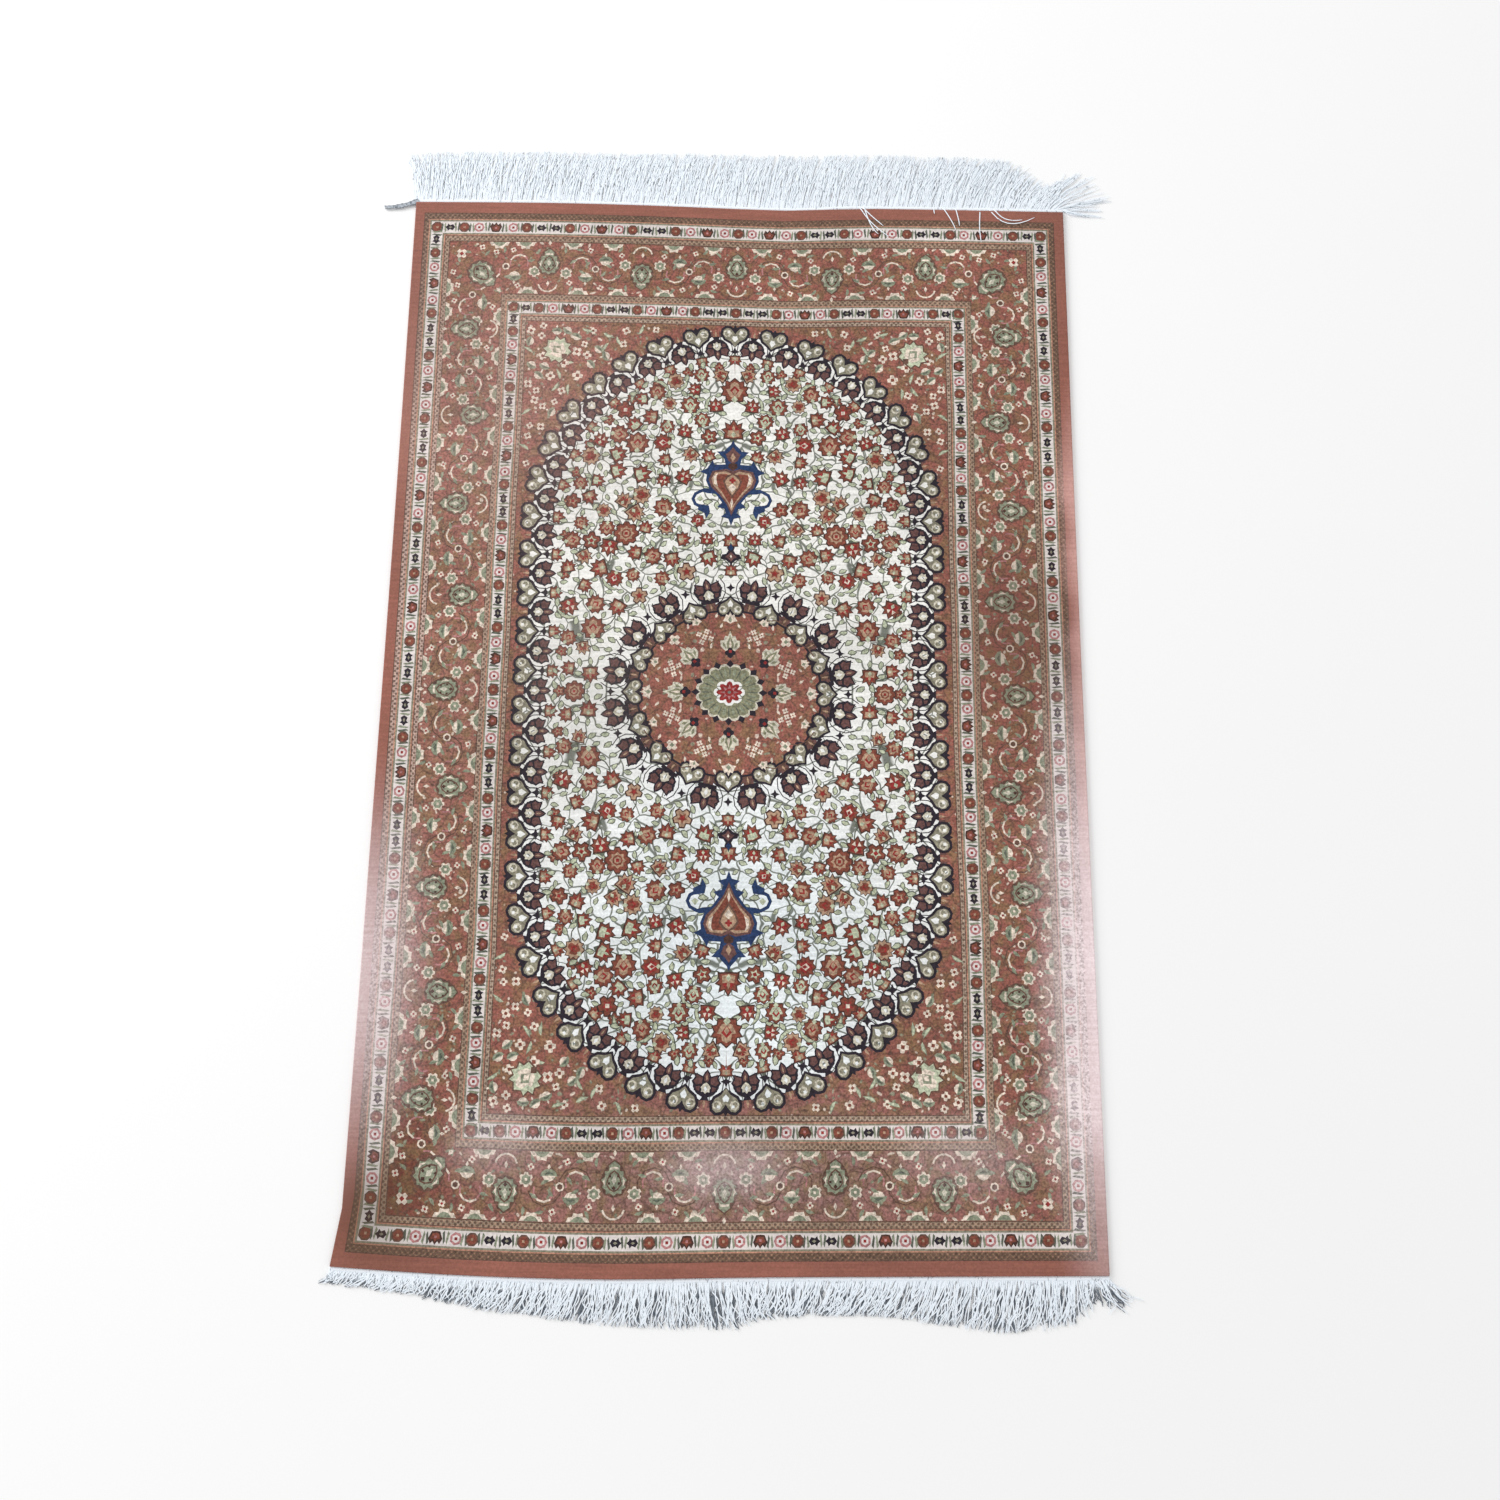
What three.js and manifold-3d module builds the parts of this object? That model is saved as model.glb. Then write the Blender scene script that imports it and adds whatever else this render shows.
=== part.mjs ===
// A hand-knotted rug lying flat on the floor, with a fringe at each end. Millimetres, +Z up.
// The origin is the middle of the woven rug at floor level, and +Y runs along its length.
import * as THREE from "three";
import { mergeVertices } from "three/addons/utils/BufferGeometryUtils.js";
import Module from "manifold-3d";

// Woven rug: foundation and clipped pile together.
const RUG_WIDTH = 1000;
const RUG_LENGTH = 1540;
const RUG_THICKNESS = 5;
const RIM_ROUND = 1.6;
const RIM_STEPS = 2;
const EDGE_STEPS = 24;

// Fringe: a flat woven web against each end of the pile, and the locks that grow out of it.
const PIECE_GAP = 0.3;
const WEB_WIDTH = 6;
const WEB_THICKNESS = 2.6;
const LOCK_COUNT = 120;
const LOCK_STEPS = 2;
const LOCK_HEIGHT = { root: 2.4, tip: 1.4 };
const LOCK_WIDTH = { least: 2, most: 13 };
const LOCK_SPACE = 1.8;
const LOCK_ROOT_DEPTH = 3;
const LOCK_CROWN = 0.6;
const LOCK_BEND = 0.3;
const LOCK_RAGGED = 3.5;

const HALF_WIDTH = RUG_WIDTH / 2;
const HALF_LENGTH = RUG_LENGTH / 2;

// How far the woven edges stray outwards from a true rectangle, at places along each edge.
const TOP_STRAY = [
  { at: -500, out: 5 },
  { at: -300, out: 6 },
  { at: -140, out: 3.5 },
  { at: 80, out: -3 },
  { at: 190, out: 2 },
  { at: 500, out: 0 },
];
const BOTTOM_STRAY = [
  { at: -509, out: -1 },
  { at: -340, out: 8 },
  { at: -150, out: 11 },
  { at: 50, out: 6 },
  { at: 310, out: 2 },
  { at: 500, out: -1 },
];
const LEFT_STRAY = [
  { at: -771, out: 9 },
  { at: -735, out: 1 },
  { at: -650, out: -2 },
  { at: 150, out: -3 },
  { at: 775, out: 0 },
];
const RIGHT_STRAY = [
  { at: -771, out: 0 },
  { at: 60, out: -2 },
  { at: 770, out: 0 },
];

// How the locks lie: how far a lock that grows at this place reaches outwards and sideways.
const TOP_LAY = [
  { at: -498, out: -8, side: -52 },
  { at: -490, out: 84, side: -26 },
  { at: -470, out: 88, side: -8 },
  { at: -420, out: 88, side: 10 },
  { at: -200, out: 89, side: 18 },
  { at: 80, out: 95, side: 20 },
  { at: 300, out: 91, side: 28 },
  { at: 385, out: 87, side: 35 },
  { at: 415, out: 68, side: 25 },
  { at: 437, out: 51, side: 24 },
  { at: 452, out: 45, side: 32 },
  { at: 465, out: 58, side: 43 },
  { at: 475, out: 69, side: 57 },
  { at: 483, out: 49, side: 70 },
  { at: 490, out: 21, side: 80 },
  { at: 498, out: -6, side: 60 },
];
const BOTTOM_LAY = [
  { at: -505, out: 20, side: -8 },
  { at: -380, out: 26, side: -8 },
  { at: -300, out: 39, side: -12 },
  { at: -225, out: 44, side: -14 },
  { at: -148, out: 53, side: -10 },
  { at: -60, out: 59, side: 0 },
  { at: 0, out: 60, side: 8 },
  { at: 40, out: 50, side: 4 },
  { at: 110, out: 46, side: -14 },
  { at: 218, out: 46, side: -22 },
  { at: 300, out: 56, side: -20 },
  { at: 371, out: 66, side: -12 },
  { at: 430, out: 62, side: -6 },
  { at: 455, out: 55, side: -4 },
  { at: 472, out: 36, side: -2 },
  { at: 480, out: 30, side: 4 },
  { at: 490, out: 44, side: 18 },
  { at: 498, out: 30, side: 22 },
];

const wasm = await Module();
wasm.setup();

const silkPile = new THREE.MeshStandardMaterial({ color: 0xb08272, roughness: 0.75, metalness: 0 });
const silkWarp = new THREE.MeshStandardMaterial({ color: 0xdfe5ee, roughness: 0.7, metalness: 0 });

// A column's value at a place along a table's edge, on straight lines between its rows.
function alongTable(rows, at, column) {
  const next = rows.findIndex((row) => row.at >= at);
  if (next === 0) return rows[0][column];
  if (next < 0) return rows[rows.length - 1][column];
  const share = (at - rows[next - 1].at) / (rows[next].at - rows[next - 1].at);
  return THREE.MathUtils.lerp(rows[next - 1][column], rows[next][column], share);
}

// A smooth curve through an edge's stray, as a function of the place along the edge.
function smoothStray(rows) {
  const spline = new THREE.SplineCurve(rows.map((row) => new THREE.Vector2(row.at, row.out)));
  const samples = spline.getPoints(rows.length * 12).map((point) => ({ at: point.x, out: point.y }));
  return (at) => alongTable(samples, at, "out");
}

const topStray = smoothStray(TOP_STRAY);
const bottomStray = smoothStray(BOTTOM_STRAY);
const leftStray = smoothStray(LEFT_STRAY);
const rightStray = smoothStray(RIGHT_STRAY);

// Where an end of the pile lies along Y, at a place along X.
const topEdge = (x) => HALF_LENGTH + topStray(x);
const bottomEdge = (x) => -HALF_LENGTH - bottomStray(x);

// Where a side of the pile lies along X, at a place along Y.
const leftEdge = (y) => -HALF_WIDTH - leftStray(y);
const rightEdge = (y) => HALF_WIDTH + rightStray(y);

// The four woven corners, where a side meets an end.
const cornerAt = (x, endEdge) => new THREE.Vector2(x, endEdge(x));
const corner = {
  topLeft: cornerAt(leftEdge(HALF_LENGTH), topEdge),
  topRight: cornerAt(rightEdge(HALF_LENGTH), topEdge),
  bottomRight: cornerAt(rightEdge(-HALF_LENGTH), bottomEdge),
  bottomLeft: cornerAt(leftEdge(-HALF_LENGTH), bottomEdge),
};

// Points from one corner up to the next, each moved onto its uneven edge.
function edgePoints(from, to, ontoEdge) {
  return Array.from({ length: EDGE_STEPS }, (_, step) => {
    const point = from.clone().lerp(to, step / EDGE_STEPS);
    return step === 0 ? point : ontoEdge(point);
  });
}

function rugOutline() {
  return new THREE.Shape([
    ...edgePoints(corner.bottomLeft, corner.bottomRight, (p) => new THREE.Vector2(p.x, bottomEdge(p.x))),
    ...edgePoints(corner.bottomRight, corner.topRight, (p) => new THREE.Vector2(rightEdge(p.y), p.y)),
    ...edgePoints(corner.topRight, corner.topLeft, (p) => new THREE.Vector2(p.x, topEdge(p.x))),
    ...edgePoints(corner.topLeft, corner.bottomLeft, (p) => new THREE.Vector2(leftEdge(p.y), p.y)),
  ]);
}

// The pile and its foundation as one flat slab whose rim is rounded above and below.
function rugGeometry() {
  const slab = new THREE.ExtrudeGeometry(rugOutline(), {
    depth: RUG_THICKNESS - 2 * RIM_ROUND,
    bevelThickness: RIM_ROUND,
    bevelSize: RIM_ROUND,
    bevelOffset: -RIM_ROUND,
    bevelSegments: RIM_STEPS,
  });
  return slab.translate(0, 0, RIM_ROUND);
}

// A geometry as a solid that can be joined, and a joined solid as a geometry.
function solidFrom(geometry) {
  const bare = new THREE.BufferGeometry();
  bare.setAttribute("position", geometry.getAttribute("position"));
  bare.setIndex(geometry.index);
  const merged = mergeVertices(bare);
  return new wasm.Manifold(new wasm.Mesh({
    numProp: 3,
    vertProperties: merged.getAttribute("position").array,
    triVerts: new Uint32Array(merged.index.array),
  }));
}

function geometryFrom(solid) {
  const mesh = solid.getMesh();
  const geometry = new THREE.BufferGeometry();
  geometry.setAttribute("position", new THREE.BufferAttribute(mesh.vertProperties, 3));
  geometry.setIndex(new THREE.BufferAttribute(mesh.triVerts, 1));
  const flat = geometry.toNonIndexed();
  flat.computeVertexNormals();
  return flat;
}

// The narrow web, following the uneven end of the pile just clear of it.
function webGeometry(end) {
  const inner = [];
  const outer = [];
  for (let step = 0; step <= EDGE_STEPS; step++) {
    const x = THREE.MathUtils.lerp(end.from, end.to, step / EDGE_STEPS);
    const edge = end.edge(x);
    inner.push(new THREE.Vector2(x, edge + end.outwards * PIECE_GAP));
    outer.push(new THREE.Vector2(x, edge + end.outwards * (PIECE_GAP + WEB_WIDTH)));
  }
  const outline = new THREE.Shape([...inner, ...outer.reverse()]);
  return new THREE.ExtrudeGeometry(outline, { depth: WEB_THICKNESS, bevelEnabled: false });
}

// A small repeatable unevenness between -1 and 1 for the lock of this number.
function ragged(number) {
  return 2 * THREE.MathUtils.euclideanModulo(Math.sin(number * 12.9898) * 43758.5453, 1) - 1;
}

// The line of a lock on the floor: where it grows out of the web and where its tip lies.
function lockLine(end, number) {
  const x = THREE.MathUtils.lerp(end.firstLock, end.lastLock, number / (LOCK_COUNT - 1));
  const edge = end.edge(x);
  const reach = alongTable(end.lay, x, "out") + LOCK_RAGGED * ragged(number);
  const rootDepth = PIECE_GAP + WEB_WIDTH - LOCK_ROOT_DEPTH;
  return {
    root: new THREE.Vector2(x, edge + end.outwards * rootDepth),
    tip: new THREE.Vector2(x + alongTable(end.lay, x, "side"), edge + end.outwards * reach),
  };
}

// How wide a lock is at its root or its tip: the room that its neighbours leave across it.
function lockWidth(end, number, place) {
  const line = lockLine(end, number);
  const along = line.tip.clone().sub(line.root).normalize();
  const rooms = [number - 1, number + 1]
    .filter((other) => other >= 0 && other < LOCK_COUNT)
    .map((other) => Math.abs(lockLine(end, other)[place].sub(line[place]).cross(along)));
  return THREE.MathUtils.clamp(Math.min(...rooms) - LOCK_SPACE, LOCK_WIDTH.least, LOCK_WIDTH.most);
}

// One lock: a four-sided strand, flat on the floor, along a curve from its root to its tip.
function lockGeometry(end, number) {
  const { root, tip } = lockLine(end, number);
  const rootWidth = lockWidth(end, number, "root");
  const tipWidth = lockWidth(end, number, "tip");
  const bend = new THREE.Vector2(
    THREE.MathUtils.lerp(root.x, tip.x, LOCK_BEND),
    THREE.MathUtils.lerp(root.y, tip.y, 0.5),
  );
  const path = new THREE.QuadraticBezierCurve(root, bend, tip);

  const corners = [];
  for (let step = 0; step <= LOCK_STEPS; step++) {
    const share = step / LOCK_STEPS;
    const centre = path.getPoint(share);
    const along = path.getTangent(share);
    const height = THREE.MathUtils.lerp(LOCK_HEIGHT.root, LOCK_HEIGHT.tip, share);
    const foot = new THREE.Vector2(along.y, -along.x);
    foot.multiplyScalar(THREE.MathUtils.lerp(rootWidth, tipWidth, share) / 2);
    const crown = foot.clone().multiplyScalar(LOCK_CROWN);
    corners.push(
      [centre.x - foot.x, centre.y - foot.y, 0],
      [centre.x + foot.x, centre.y + foot.y, 0],
      [centre.x + crown.x, centre.y + crown.y, height],
      [centre.x - crown.x, centre.y - crown.y, height],
    );
  }
  const last = LOCK_STEPS * 4;
  const faces = [[0, 1, 2], [0, 2, 3], [last, last + 2, last + 1], [last, last + 3, last + 2]];
  for (let ring = 0; ring < last; ring += 4) {
    for (let side = 0; side < 4; side++) {
      const here = ring + side;
      const beside = ring + ((side + 1) % 4);
      faces.push([here, here + 4, beside], [beside, here + 4, beside + 4]);
    }
  }
  const geometry = new THREE.BufferGeometry();
  geometry.setAttribute("position", new THREE.Float32BufferAttribute(corners.flat(), 3));
  geometry.setIndex(faces.flat());
  return geometry;
}

// The fringe of one end: its locks grown together with the web at their roots.
function fringeGeometry(end) {
  let fringe = solidFrom(webGeometry(end));
  for (let number = 0; number < LOCK_COUNT; number++) {
    fringe = fringe.add(solidFrom(lockGeometry(end, number)));
  }
  return geometryFrom(fringe);
}

const topEnd = {
  edge: topEdge,
  outwards: 1,
  from: corner.topLeft.x,
  to: corner.topRight.x,
  lay: TOP_LAY,
  firstLock: TOP_LAY[0].at,
  lastLock: TOP_LAY[TOP_LAY.length - 1].at,
};
const bottomEnd = {
  edge: bottomEdge,
  outwards: -1,
  from: corner.bottomLeft.x,
  to: corner.bottomRight.x,
  lay: BOTTOM_LAY,
  firstLock: BOTTOM_LAY[0].at,
  lastLock: BOTTOM_LAY[BOTTOM_LAY.length - 1].at,
};

function part(name, geometry, material) {
  const mesh = new THREE.Mesh(geometry, material);
  mesh.name = name;
  return mesh;
}

const rug = new THREE.Group();
rug.add(
  part("rug", rugGeometry(), silkPile),
  part("fringe_top", fringeGeometry(topEnd), silkWarp),
  part("fringe_bottom", fringeGeometry(bottomEnd), silkWarp),
);

export default rug;
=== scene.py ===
"""Persian rug: a flat knotted silk rug with an oval field, and a fringe of warp ends at each end."""

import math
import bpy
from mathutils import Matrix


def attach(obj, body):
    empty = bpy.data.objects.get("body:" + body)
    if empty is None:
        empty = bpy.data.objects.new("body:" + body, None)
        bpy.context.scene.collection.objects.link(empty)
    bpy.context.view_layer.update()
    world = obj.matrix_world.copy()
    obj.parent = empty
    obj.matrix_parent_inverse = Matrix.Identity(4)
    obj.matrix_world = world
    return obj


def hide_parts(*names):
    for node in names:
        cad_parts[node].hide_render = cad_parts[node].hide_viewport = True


bl_info = {
    "name": "Persian rug",
    "version": (1, 0, 0),
    "blender": (4, 5, 0),
    "location": "View3D > Sidebar > Rug",
    "description": "Knots a medallion rug inside its border stripes and lays its two fringes",
    "category": "Object",
}

import bmesh
import bpy
import numpy as np
from bpy.props import FloatProperty, FloatVectorProperty, IntProperty, PointerProperty
from bpy.types import Operator, Panel, PropertyGroup
from mathutils import Euler, Vector
from mathutils.geometry import delaunay_2d_cdt

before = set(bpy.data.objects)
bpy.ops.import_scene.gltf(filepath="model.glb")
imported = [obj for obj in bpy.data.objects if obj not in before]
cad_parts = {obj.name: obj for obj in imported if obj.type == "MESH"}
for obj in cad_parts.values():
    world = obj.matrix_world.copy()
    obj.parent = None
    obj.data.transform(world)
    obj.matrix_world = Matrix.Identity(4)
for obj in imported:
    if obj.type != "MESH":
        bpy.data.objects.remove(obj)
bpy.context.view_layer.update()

MM = 0.001


def linear(hex_colour):
    """An sRGB hex colour as linear red, green and blue."""
    parts = [int(hex_colour[i : i + 2], 16) / 255 for i in (1, 3, 5)]
    return [c / 12.92 if c <= 0.04045 else ((c + 0.055) / 1.055) ** 2.4 for c in parts]


def colour(name, hex_colour, description):
    return FloatVectorProperty(
        name=name, description=description, default=linear(hex_colour), subtype="COLOR", min=0, max=1
    )


def length(name, millimetres, description):
    return FloatProperty(
        name=name, description=description, unit="LENGTH", min=0, default=millimetres * MM, precision=4
    )


class RugSizes(PropertyGroup):
    """Sizes of the woven rug."""

    width: length("Width", 1000, "Woven width of the rug")
    length: length("Length", 1540, "Woven length of the rug, without its fringes")
    thickness: length("Thickness", 5, "Foundation and clipped pile together")
    rim: length("Rim", 1.6, "Radius of the rounded edge")
    side_stripes: FloatVectorProperty(
        name="Side stripes",
        description="Widths of the eight stripes along a side, from the edge inwards",
        size=8,
        unit="LENGTH",
        default=[w * MM for w in (15, 12.5, 18, 13, 84, 12, 17.5, 11.5)],
    )
    end_stripes: FloatVectorProperty(
        name="End stripes",
        description="Widths of the eight stripes along an end, from the edge inwards",
        size=8,
        unit="LENGTH",
        default=[w * MM for w in (19, 15, 19.5, 14.5, 87, 14, 18, 13)],
    )
    blossom_spacing: length("Blossom spacing", 25.5, "Least distance between blossoms of the ivory field")
    seed: IntProperty(name="Seed", description="Seed of the scattered blossoms and threads", default=11)


class RugDyes(PropertyGroup):
    """Dyes of the silk pile."""

    terracotta: colour("Terracotta", "#935b50", "Ground of the border and the corners")
    plain: colour("Plain stripe", "#955f52", "Outermost stripe")
    rust: colour("Rust", "#7f4638", "Blossoms of the ivory field")
    brown: colour("Brown", "#4b322b", "Outlines of the blossoms")
    navy: colour("Navy", "#29222b", "Outlines of the oval and the medallion")
    blue: colour("Blue", "#263a60", "Pendants")
    ivory: colour("Ivory", "#edebe6", "Ground of the field")
    white: colour("White", "#dcd3cf", "Ground of the white stripes")
    cream: colour("Cream", "#dacbbb", "Small flowers on terracotta")
    silver: colour("Silver", "#c8c2b1", "Heart scrolls")
    grey: colour("Grey", "#898472", "Shaded side of the heart scrolls")
    green: colour("Green", "#888d78", "Palmettes of the border")
    leaf: colour("Leaf", "#b6bca2", "Leaves of the ivory field")
    olive: colour("Olive", "#85846b", "Sunburst")
    sage: colour("Sage", "#5d6256", "Vines and leaf outlines")
    gold: colour("Gold", "#ac8e76", "Pale parts of the blossoms")
    peach: colour("Peach", "#b4836e", "Lines of the guard stripes")
    red: colour("Red", "#8f2f2d", "Touches inside the flowers")
    pink: colour("Pink", "#b07a7a", "Ring rosettes of the white stripes")
    bark: colour("Bark", "#6f5a49", "Outermost guard stripe")
    beige: colour("Beige", "#9a8672", "Middle guard stripes")
    sand: colour("Sand", "#ab9a88", "Guard stripe round the field")
    umber: colour("Umber", "#664b40", "Lines and dots of the guard stripes")
    mauve: colour("Mauve", "#664744", "Lobes of the dark palmettes")


class FringeSizes(PropertyGroup):
    """Sizes of the two fringes."""

    locks: IntProperty(name="Locks", description="Locks of warp ends along one end", default=124, min=2)
    strands: IntProperty(name="Strands", description="Strands in one lock", default=12, min=1)
    strand: length("Strand", 0.75, "Radius of a strand where it leaves the web")
    web: length("Web", 6, "Width of the flat woven web")
    web_thickness: length("Web thickness", 2.6, "Thickness of the web")
    gap: length("Gap", 0.3, "Clearance between the web and the pile")
    light: colour("Bleached silk", "#f1f8ff", "Strands in the light")
    shade: colour("Shaded silk", "#5c646e", "Strands deep in the fringe")


class StageLights(PropertyGroup):
    """Floor, camera and light."""

    floor: colour("Floor", "#fafafa", "Plain pale floor")
    camera_place: FloatVectorProperty(
        name="Camera place", description="Where the camera stands", subtype="TRANSLATION",
        default=(0.029, -0.397, 1.614),
    )
    camera_turn: FloatVectorProperty(
        name="Camera turn", description="Turn of the camera from looking straight down", subtype="EULER",
        default=[math.radians(a) for a in (11.06, -0.06, 0.71)],
    )
    lens: FloatProperty(
        name="Lens", description="Focal length on a 36 mm sensor", unit="CAMERA", default=28.02, min=1
    )
    sky: FloatProperty(
        name="Sky", description="Strength of the even light all round", default=0.78, min=0
    )
    key: FloatProperty(
        name="Key", description="Power of the soft light at the upper left",
        unit="POWER", default=230, min=0,
    )


def outline(*points):
    """A closed outline through points given as pairs of millimetres."""
    return np.array([complex(x, y) for x, y in points])


def both(*right):
    """A symmetrical outline from its right half, foot to tip."""
    half = outline(*right)
    mirrored = -half[::-1].conj()
    return np.concatenate([half, mirrored[np.abs(mirrored.real) > 1e-6]])


def pair(shape):
    """A shape and its mirror image across the motif's axis."""
    return [shape, -shape.conj()]


def dyed(dye, shapes):
    """Several shapes of one dye."""
    return [(dye, shape) for shape in shapes]


def redyed(motif, swaps):
    """A motif with some of its dyes exchanged."""
    return [(swaps.get(dye, dye), shape) for dye, shape in motif]


def turned(degrees):
    """A turn to the left, as a factor for outlines."""
    return np.exp(1j * math.radians(degrees))


def bearing(place):
    """The direction of a place from the rug's middle, in degrees from across."""
    return math.degrees(np.angle(place))


def disc(radius, sides=8, at=0j):
    return at + radius * np.exp(2j * math.pi * (np.arange(sides) + 0.5) / sides)


def star(tip, notch, points):
    """A star with a point straight up."""
    turn = 1j * np.exp(1j * math.pi * np.arange(2 * points) / points)
    return turn * np.tile([tip, notch], points)


def petals(radius, count, notch=0.55, shoulder=0.9):
    """A flower from above: each petal has a point and two shoulders."""
    share = (np.arange(count)[:, None] + np.array([-0.5, -0.24, 0, 0.24])).ravel() / count
    reach = np.tile([notch, shoulder, 1, shoulder], count)
    return 1j * radius * reach * np.exp(2j * math.pi * share)


def ribbon(path, width):
    """A band of this width along a path."""
    path = np.asarray(path, complex)
    along = np.gradient(path)
    side = 1j * along / np.abs(along) * width / 2
    return np.concatenate([path + side, (path - side)[::-1]])


def arc(radius, start, end, steps=6, at=0j):
    return at + radius * np.exp(1j * np.radians(np.linspace(start, end, steps)))


def leaf(reach, width, bend=0.0):
    """A pointed leaf from the origin upwards, bent sideways."""
    share = np.array([0, 0.25, 0.6, 1])
    spine = 1j * reach * share + bend * share**2
    half = width / 2 * np.array([0, 0.8, 1, 0])
    return np.concatenate([spine + half, (spine - half)[2:0:-1]])


def blunt_petals(radius, count, notch):
    """A flower from above whose petals end square."""
    share = (np.arange(count)[:, None] + np.array([-0.5, -0.2, 0.2])).ravel() / count
    return 1j * radius * np.tile([notch, 1, 1], count) * np.exp(2j * math.pi * share)


def open_blossom(radius):
    """A five-petalled flower seen from above, with pale inner petals and a red eye."""
    return [
        ("brown", blunt_petals(radius, 5, 0.68)),
        ("rust", blunt_petals(radius * 0.84, 5, 0.62)),
        ("gold", star(radius * 0.56, radius * 0.26, 5)),
        ("red", disc(radius * 0.26, 4)),
    ]


def side_blossom(radius):
    """A flower seen from the side, with jagged petals and a green calyx."""
    petal = both(
        (0, -0.8), (0.86, -0.76), (0.74, -0.22), (1.04, 0.08), (0.66, 0.24), (0.74, 0.74), (0.3, 0.54),
        (0, 1.04),
    )
    return [
        ("sage", radius * both((0, -1.15), (0.34, -0.8), (0, -0.6))),
        ("brown", radius * petal),
        ("rust", radius * 0.83 * petal),
        ("gold", radius * both((0, -0.62), (0.5, -0.5), (0.44, 0.04), (0.2, 0), (0, 0.5))),
        ("leaf", radius * both((0, -0.62), (0.2, -0.36), (0, -0.08))),
        *dyed("red", pair(radius * outline((0.08, 0), (0.46, 0.08), (0.2, 0.44)))),
    ]


def rosette(radius):
    """A round flower of eight blunt petals with a ringed heart."""
    return [
        ("brown", blunt_petals(radius, 8, 0.8)),
        ("rust", blunt_petals(radius * 0.88, 8, 0.8)),
        ("gold", star(radius * 0.62, radius * 0.46, 8)),
        ("rust", disc(radius * 0.4, 7)),
        ("gold", disc(radius * 0.27, 6)),
        ("red", disc(radius * 0.17, 4)),
    ]


def lotus(radius):
    """A large fan-shaped flower with two rows of petals."""
    fan = both(
        (0, -0.9), (0.62, -0.9), (0.66, -0.5), (1, -0.42), (0.84, -0.06), (1.04, 0.26), (0.68, 0.36),
        (0.7, 0.78), (0.36, 0.66), (0, 0.98),
    )
    bowl = both((0, -0.6), (0.34, -0.5), (0.62, 0.06), (0.34, 0.1), (0.28, 0.5), (0, 0.64))
    return [
        ("brown", radius * fan),
        ("rust", radius * 0.88 * fan),
        ("gold", radius * bowl),
        ("red", radius * both((0, -0.44), (0.34, 0), (0, 0.34))),
        ("gold", radius * both((0, -0.4), (0.18, -0.1), (0, 0.14))),
        ("leaf", radius * both((0, -1), (0.24, -0.7), (0, -0.44))),
    ]


def leaf_bud(reach):
    """A pale green leaf with a dark outline."""
    return [
        ("sage", leaf(reach, reach * 0.64, reach * 0.24)),
        ("leaf", 0.1j * reach + leaf(reach * 0.8, reach * 0.42, reach * 0.2)),
    ]


def feather_leaf(radius, sweep):
    """A long curved leaf that hugs a blossom."""
    share = np.linspace(0, 1, 6)
    outer = radius * np.exp(1j * np.radians(sweep * share))
    hollow = outer * (1 - 0.38 * np.sin(math.pi * share))
    inside = np.linspace(0.1, 0.9, 4)
    back = radius * np.exp(1j * np.radians(sweep * inside))
    return [
        ("sage", np.concatenate([outer, hollow[-2:0:-1]])),
        ("leaf", np.concatenate([0.94 * back, (back * (1 - 0.31 * np.sin(math.pi * inside)))[::-1]])),
    ]


def heart_scroll():
    """A silver heart of two curled lobes in a navy outline, point down, with a navy bud between them."""
    shapes = [
        ("navy", both(
            (0, -20.5), (7, -14), (17, -8.5), (22, 1), (21, 10), (14.5, 15.5), (6.5, 15), (0, 11)
        )),
        ("grey", both(
            (0, -16.5), (6, -10.5), (14.5, -5.5), (18.5, 2), (17.5, 8), (12.8, 12), (7, 11), (0, 3)
        )),
    ]
    for way in (1, -1):
        lobe = 11.4 * way + 3.2j
        shapes.append(("silver", disc(6.4, 7, lobe)))
        shapes.append(("grey", disc(3.6, 6, lobe + 1.2 * way - 0.8j)))
        shapes.append(("ivory", disc(2.8, 4, lobe - 1.8 * way + 1.8j)))
    shapes.append(("ivory", both((0, -13), (4.6, -6), (2.8, -1.2), (0, -2))))
    shapes.append(("navy", both((0, 1.5), (4.4, 9.5), (0, 17))))
    return shapes


def dark_palmette():
    """A dark leaf of seven points with a pale fan at its head."""
    rim = both(
        (0, -19), (4.2, -14), (6.5, -8.5), (12, -10.5), (19.5, -12.5), (18.5, -5.5), (23, 0),
        (19, 7), (18, 13.5), (10.5, 16.5), (6, 21), (0, 19.5),
    )
    side_lobe = outline((6, -6), (17, -10), (16, -4.6), (19.8, -0.4), (15.5, 5), (7, 3))
    top_lobe = outline((9.4, 6.6), (15.6, 7.6), (15, 12), (9.6, 14))
    return [
        ("navy", rim),
        *dyed("mauve", pair(side_lobe) + pair(top_lobe)),
        ("mauve", both((0, -16), (4, -9), (3.4, -2), (0, 0))),
        ("silver", both((0, 0.5), (4.2, 3.4), (8, 8.5), (6.2, 10.5), (6.6, 15), (3, 14.5), (0, 17.5))),
        ("ivory", both((0, 4.5), (2.8, 9.5), (0, 15))),
        ("gold", both((0, -11), (1.6, -6), (0, -2))),
    ]


def straps(radius, hollow):
    """Two white bands with dark outlines that arch round a palmette, and the hollow between them."""
    shapes = [(hollow, arc(radius + 2, 0, 180, 8))]
    for path in pair(arc(radius, 76, -40, 5)):
        shapes.append(("navy", ribbon(path, 7.4)))
        shapes.append(("ivory", ribbon(path, 4.6)))
    return shapes


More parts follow.
